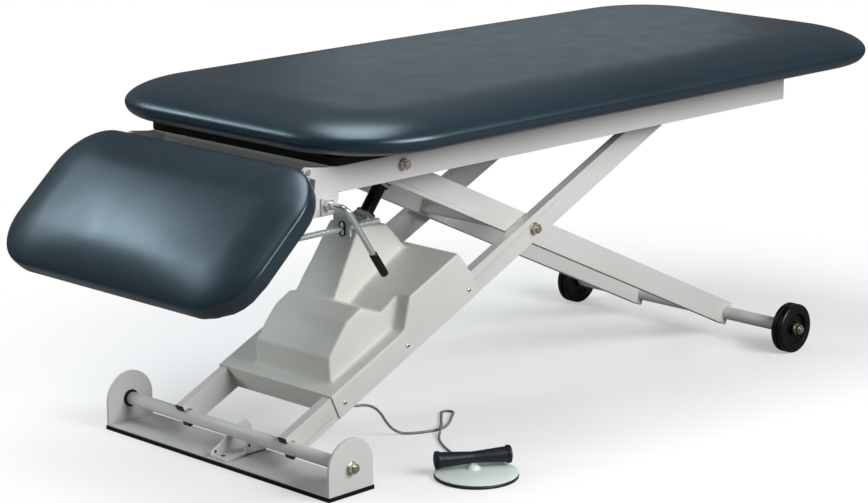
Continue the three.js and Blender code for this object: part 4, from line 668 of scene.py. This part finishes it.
def swelling(bm, voxel, most):
    """Blows the cover up as cloth over foam on an even copy, and returns how far each point rises."""
    mesh = bpy.data.meshes.new("foam")
    bm.to_mesh(mesh)
    foam = bpy.data.objects.new("foam", mesh)
    bpy.context.scene.collection.objects.link(foam)
    even = foam.modifiers.new("even", "REMESH")
    even.mode = "VOXEL"
    even.voxel_size = voxel
    settle(foam)
    rest = [(v.co.copy(), v.normal.copy()) for v in foam.data.vertices]
    cloth = foam.modifiers.new("cloth", "CLOTH")
    cloth.settings.use_pressure = True
    cloth.settings.uniform_pressure_force = 4
    cloth.settings.tension_stiffness = 25
    cloth.settings.compression_stiffness = 25
    cloth.settings.bending_stiffness = 4
    cloth.settings.quality = 4
    cloth.settings.effector_weights.gravity = 0
    last_frame = 20
    cloth.point_cache.frame_start = 1
    cloth.point_cache.frame_end = last_frame
    for number in range(1, last_frame + 1):
        bpy.context.scene.frame_set(number)
    settle(foam)
    bpy.context.scene.frame_set(1)
    rise = [max((v.co - old).dot(normal), 0.0) for v, (old, normal) in zip(foam.data.vertices, rest)]
    highest = max(rise)
    tree = kdtree.KDTree(len(rest))
    for i, (old, _) in enumerate(rest):
        tree.insert(old, i)
    tree.balance()
    bpy.data.objects.remove(foam)

    def at(point):
        near = tree.find_n(point, 40)
        reach = near[-1][2] * 1.02
        weights = [(1 - (away / reach) ** 2) ** 2 for _, _, away in near]
        mean = sum(w * rise[i] for w, (_, i, _) in zip(weights, near)) / sum(weights)
        return mean * min(1, most / highest)

    return at


def upholster(name, node, body, pad, place, low):
    """One cushion: a swollen vinyl cover over foam, gathered under its corners, a dust cloth below."""
    bm = cushion_form(pad, low)
    rise = swelling(bm, pad["voxel"], pad["swell"])
    nose = low + pad["lift"] + pad["nose"]
    corner = min(pad["front_radius"], pad["rear_radius"])
    middle = (pad["front"] + pad["rear"]) / 2
    fold_count, fold_depth, hold_height = 34, 0.0009, 0.02
    moves = []
    for vertex in bm.verts:
        co, hold = vertex.co, min(max((vertex.co.z - nose) / hold_height, 0.0), 1.0)
        move = Vector((0, 0, rise(co) * hold if rise else 0))
        over_x = abs(co.x - middle) - ((pad["rear"] - pad["front"]) / 2 - corner)
        over_y = abs(co.y) - (pad["half"] - corner)
        fade = (nose - co.z) / (nose - low)
        if min(over_x, over_y, fade) > 0 and math.hypot(over_x, over_y) > corner * 0.7:
            out = Vector((over_x * math.copysign(1, co.x - middle), over_y * math.copysign(1, co.y), 0))
            fold = math.sin(math.atan2(over_y, over_x) * fold_count)
            move += out.normalized() * fold * fold_depth * fade
        moves.append(move)
    for vertex, move in zip(bm.verts, moves):
        vertex.co += move
    obj = piece(name, bm, body, embossed_vinyl, replaces=[node], sharp=180, more=[cloth_and_step_shade])
    # Faces below this height take the black cloth: the underside, and on the main cushion the step above
    # the seat, whose black is painted shade over shaded vinyl.
    cloth_and_shade_top = low + max(pad["lift"] - 0.0005, 0.0003)
    for face in obj.data.polygons:
        face.material_index = 1 if face.center.z < cloth_and_shade_top else 0
    if place:
        obj.data.transform(place)
    finer = obj.modifiers.new("finer", "SUBSURF")
    finer.levels = finer.render_levels = 1
    settle(obj)


main_pad = {
    "front": 0.0055, "rear": 1.4985, "half": 0.3510, "thick": 0.0675, "front_radius": 0.18,
    "rear_radius": 0.2036, "nose": 0.023, "roll": 0.125, "power": 1.95, "crown": 0.006, "under": 0.034,
    "seat": 0.112, "lift": 0.006, "voxel": 0.014, "swell": 0.003,
}
upholster("main_cushion_cover", "main_cushion", "top_frame", main_pad, None,
          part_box("platform_board")[1].z + 0.0003)


# Drop section: a black plywood board on two powder-coated hinge plates, with a plated lug for the
# support rod. It tilts about the hinge pins in the ends of the side rails.
dress(("drop_board",), stained_plywood, board_edge)
dress(("drop_hinge_near", "drop_hinge_far"), powder_coat, sheet_edge)
dress(("strut_lug",), bright_zinc, bolt_edge)

# Drop cushion: the same build as the main cushion, thinner and with tighter corners, stapled to
# the tilting board.
DROP = Matrix.Translation((0.008, 0, 0.537139)) @ Matrix.Rotation(-math.radians(41.9), 4, "Y")
drop_pad = {
    "front": -0.3055, "rear": -0.0126, "half": 0.3092, "thick": 0.0600, "front_radius": 0.098,
    "rear_radius": 0.0925, "nose": 0.03, "roll": 0.085, "power": 2, "crown": 0.014, "under": 0.0083,
    "seat": 0.034, "lift": 0, "voxel": 0.009, "swell": 0.003,
}
upholster("drop_cushion_cover", "drop_cushion", "drop_section", drop_pad, DROP, -0.0021)


# Support rod: a zinc-plated steel rod from the drop section's lug through the slot of the clamp
# bracket, where the lever clamps it and so holds the drop section's tilt.
dress(("support_rod",), bright_zinc, bolt_edge)

# Rod bush: a thin dark liner in the bracket's slot, long enough for the support rod to rise and
# sink as the drop section tilts. Its black also paints the shade where the rod enters the bracket.
bush_z, bush_run = 0.440, 0.0062
bush_place = Matrix.Translation((0.0615, -0.248, bush_z)) @ Matrix.Rotation(math.pi / 2, 4, "Y")
bush_and_shade_bm = spun(((0.0056, -0.0022), (0.0066, -0.0022), (0.0069, -0.0018), (0.0069, 0.0002), (0.0056, 0.0002),
                (0.0056, -0.0022)), 32, bush_place)
for vertex in bush_and_shade_bm.verts:
    if abs(vertex.co.z - bush_z) > 0.0001:
        vertex.co.z += math.copysign(bush_run, vertex.co.z - bush_z)
piece("rod_bush_and_shade", bush_and_shade_bm, "top_frame", moulded_abs, sharp=50)


# Clamp lever: one bent zinc-plated rod welded to a hex boss, whose stud runs into the bracket.
# A glossy black grip is pushed over its end.
# Dipped PVC: glossy black with clean reflections
dipped_pvc = surface("dipped_pvc", "#060707", "#040404", 0.2, 0.03, clouds=56)
LEVER = Matrix.Translation((0.047, 0, 0.479639))
boss_y, boss_height, lever_reach, bend_size, grip_length = -0.2285, 0.010, 0.034, 0.016, 0.049
lever_radius, stud_length, stud_radius = 0.0052, 0.022, 0.0039
down = Vector((0.086, 0, -0.125))
handle_length = down.length
down.normalize()
corner = Vector((0, boss_y - boss_height - lever_reach, 0))
bend = [corner + Vector((0, bend_size, 0)) * (1 - t) ** 2 + down * bend_size * t * t
        for t in (i / 12 for i in range(13))]
grip_start = corner + down * (handle_length - grip_length)
lever_line = [(0, boss_y - 0.004, 0), (0, boss_y - 0.014, 0), *bend, grip_start]
lever_bm = swept(lever_line, lever_radius, 24)
boss_place = Matrix.Translation((0, boss_y, 0)) @ across_table
spun(((0, 0), (0.0088, 0), (0.0094, 0.0006), (0.0094, boss_height - 0.0006), (0.0088, boss_height),
      (0, boss_height)), 6, boss_place, lever_bm)
spun(((0, -stud_length), (stud_radius, -stud_length), (stud_radius, 0), (0, 0)), 20, boss_place, lever_bm)
piece("lever_rod", lever_bm, "clamp_lever", bright_zinc, LEVER, replaces=["clamp_lever"], sharp=40)
grip_steps = ((0.0003, 0.0058), (0.0012, 0.0067), (0.003, 0.0070), (0.012, 0.0070), (0.024, 0.0070),
              (0.036, 0.0071), (0.0458, 0.0071), (0.0482, 0.0066), (grip_length, 0.0054))
grip_bm = swept([grip_start + down * step for step, _ in grip_steps], [size for _, size in grip_steps], 28)
piece("lever_grip_sleeve", grip_bm, "clamp_lever", dipped_pvc, LEVER,
      replaces=["lever_grip"], sharp=40)


# Foot pedal: a pale enamelled steel disc with a dark rubber edge on the floor, and a post that
# carries the rocker. The edge's dark grey also paints the shade and dark reflection on the disc's
# side. The cord's socket is pushed into its rear.
# Enamelled steel: a pale cool green-white, glossier than the powder coat
enamelled_steel = surface("enamelled_steel", "#e6f0ed", "#dbe6e2", 0.32, 0.05, clouds=125, grain=1.4,
                          depth=0.00003)
# Grey rubber trim: dark grey with a soft shine; its dark also stands in for painted shade and reflection on
# the disc's side
rubber_trim_and_shade = surface("rubber_trim_and_shade", "#3a3b38", "#20211f", 0.34, 0.06, clouds=71, grain=1.4, depth=0.00003)
disc_low, disc_top = 0.0058, 0.008
disc_bm = spun(((0, disc_low), (0.0702, disc_low), (0.0712, 0.0066), (0.0708, 0.0076), (0.0696, disc_top),
                (0, disc_top)), 96)
piece("pedal_disc", disc_bm, "base", enamelled_steel, PEDAL, sharp=60)
edge_bm = spun(((0, 0), (0.0700, 0), (0.0716, 0.0008), (0.0720, 0.0030), (0.0716, 0.0052), (0.0704, 0.0057),
                (0, 0.0057)), 96)
piece("pedal_disc_edge", edge_bm, "base", rubber_trim_and_shade, PEDAL, replaces=["pedal_base"],
      sharp=60)
post_y, tongue_half, tongue_low, tongue_top, tongue_wall = 0.020, 0.0045, 0.0150, 0.031, 0.0025
post_bm = spun(((0, 0.0078), (0.0135, 0.0078), (0.0122, 0.0096), (0.0098, 0.0128), (0.0070, 0.0150),
                (0, 0.0156)), 48, Matrix.Translation((0, post_y, 0)))
plate(post_bm, ((-tongue_half, tongue_low), (tongue_half, tongue_low), (tongue_half, tongue_top - 0.0015),
                (0.003, tongue_top), (-0.003, tongue_top), (-tongue_half, tongue_top - 0.0015)),
      post_y - tongue_wall, post_y + tongue_wall)
piece("pedal_post", post_bm, "base", enamelled_steel, PEDAL, sharp=50)
socket_place = Matrix.Translation((0, 0.064, 0.0042)) @ Matrix.Rotation(-math.pi / 2, 4, "X")
socket_bm = spun(((0, 0), (0.0034, 0), (0.0041, 0.0008), (0.0041, 0.0150), (0.0034, 0.0159),
                  (0, 0.0159)), 32, socket_place)
piece("pedal_cord_socket", socket_bm, "base", moulded_abs, PEDAL)

# Pedal rocker: one rubber roller with a thick rim at each end and a narrow waist, that rocks on the
# post to drive the table up or down.
# Blue-black rubber: softer and duller than the tyres, with a blue cast
blue_black_rubber = surface("blue_black_rubber", "#15212b", "#0e171e", 0.42, 0.06, clouds=56, grain=1.4,
                            depth=0.00004, **DULL)
half, rim, waist, rim_end = 0.066, 0.0158, 0.0100, 0.0076
profile = [(0, -half), (rim - 0.0022, -half), (rim - 0.0006, -half + 0.0006), (rim, -half + 0.0022),
           (rim, -half + 0.0058), (rim - 0.0006, -half + 0.0072), (rim - 0.0020, -half + rim_end)]
for i in range(1, 11):
    share = i / 10
    profile.append((rim - 0.0020 - (rim - 0.0020 - waist) * share,
                    -half + rim_end + (half - rim_end - 0.002) * share))
profile += [(radius, -along) for radius, along in reversed(profile)]
rocker_place = Matrix.Translation((0, post_y, 0.0275)) @ Matrix.Rotation(math.pi / 2, 4, "Y")
piece("pedal_roller", spun(profile, 64, rocker_place), "pedal_rocker", blue_black_rubber,
      PEDAL, replaces=["pedal_rocker"], sharp=50)


# Studio floor: a plain pale floor that keeps the soft shadow near the table and turns white further
# off. To reflections it is a dull mid grey, so that the undersides stay dark.
floor_glow, shadow_centre, shadow_start, shadow_end = 0.38, (0.8, -0.15, 0.0), 0.7, 1.4
scene = bpy.context.scene
scene.view_settings.view_transform = "Standard"
floor_bm = bmesh.new()
bmesh.ops.create_grid(floor_bm, x_segments=1, y_segments=1, size=30)
floor_mesh = bpy.data.meshes.new("floor")
floor_bm.to_mesh(floor_mesh)
floor_bm.free()
floor = bpy.data.objects.new("floor", floor_mesh)
scene.collection.objects.link(floor)
floor_paint = bpy.data.materials.new("floor")
floor_paint.use_nodes = True
tree = floor_paint.node_tree
tree.nodes.clear()
rays = add(tree, "ShaderNodeLightPath")
direct = {0: rays.outputs["Is Camera Ray"], 1: rays.outputs["Is Transmission Ray"]}
shown = add(tree, "ShaderNodeMath", direct, operation="MAXIMUM").outputs[0]
space = add(tree, "ShaderNodeTexCoord").outputs["Object"]
centred = add(tree, "ShaderNodeVectorMath", {0: space, 1: shadow_centre}, operation="SUBTRACT").outputs[0]
away = add(tree, "ShaderNodeVectorMath", {0: centred}, operation="LENGTH").outputs["Value"]
share = add(tree, "ShaderNodeMapRange", {0: away, 1: shadow_start, 2: shadow_end, 3: floor_glow, 4: 1.0},
            interpolation_type="SMOOTHSTEP").outputs[0]
lit = add(tree, "ShaderNodeBsdfDiffuse", {"Color": (1, 1, 1, 1)})
glow = add(tree, "ShaderNodeEmission", {"Color": (1, 1, 1, 1), "Strength": 1.0})
seen = add(tree, "ShaderNodeMixShader", {0: share, 1: lit.outputs[0], 2: glow.outputs[0]})
dull_floor = add(tree, "ShaderNodeBsdfDiffuse", {"Color": srgb("#8c8c8c")})
both = add(tree, "ShaderNodeMixShader", {0: shown, 1: dull_floor.outputs[0], 2: seen.outputs[0]})
add(tree, "ShaderNodeOutputMaterial", {"Surface": both.outputs[0]})
floor_mesh.materials.append(floor_paint)

# Studio surroundings: white behind the table as the camera sees it, and a weak cool fill on the
# table itself.
world = bpy.data.worlds.new("world")
scene.world = world
world.use_nodes = True
tree = world.node_tree
tree.nodes.clear()
rays = add(tree, "ShaderNodeLightPath")
direct = {0: rays.outputs["Is Camera Ray"], 1: rays.outputs["Is Transmission Ray"]}
shown = add(tree, "ShaderNodeMath", direct, operation="MAXIMUM").outputs[0]
fill = add(tree, "ShaderNodeBackground", {"Color": (0.93, 0.96, 1, 1), "Strength": 0.16})
white = add(tree, "ShaderNodeBackground", {"Color": (1, 1, 1, 1), "Strength": 1.0})
mixed = add(tree, "ShaderNodeMixShader", {0: shown, 1: fill.outputs[0], 2: white.outputs[0]})
add(tree, "ShaderNodeOutputWorld", {"Surface": mixed.outputs[0]})


# Studio lamps: large soft rectangles beside, above and behind the table, a weak one far off on the
# right, and one low on the left that lights the base and isn't seen in the vinyl.
def lamp(name, place, target, width, height, power, colour=(1, 1, 1)):
    """A soft rectangular lamp that looks at a point."""
    data = bpy.data.lights.new(name, "AREA")
    data.shape = "RECTANGLE"
    data.size, data.size_y = width, height
    data.energy = power
    data.color = colour
    obj = bpy.data.objects.new(name, data)
    obj.location = place
    obj.rotation_mode = "QUATERNION"
    obj.rotation_quaternion = (Vector(target) - Vector(place)).to_track_quat("-Z", "Y")
    scene.collection.objects.link(obj)
    return obj


lamp("near_side", (0.9, -3.0, 1.9), (0.6, 0, 0.3), 2.4, 1.4, 104)
lamp("above", (0.35, 0.15, 2.7), (0.5, 0, 0), 2.2, 1.1, 40, (0.92, 0.98, 1))
lamp("behind", (-1.15, 2.65, 2.45), (-0.1, 0, 0.45), 1.3, 0.6, 25, (0.8, 0.92, 1))
lamp("far_right", (3.9, 2.9, 1.5), (0.75, 0, 0.6), 1.6, 0.8, 2, (0.8, 0.95, 1))
lamp("floor_left", (-1.9, 1.2, 0.7), (0.05, 0, 0.03), 0.7, 0.5, 14).visible_glossy = False
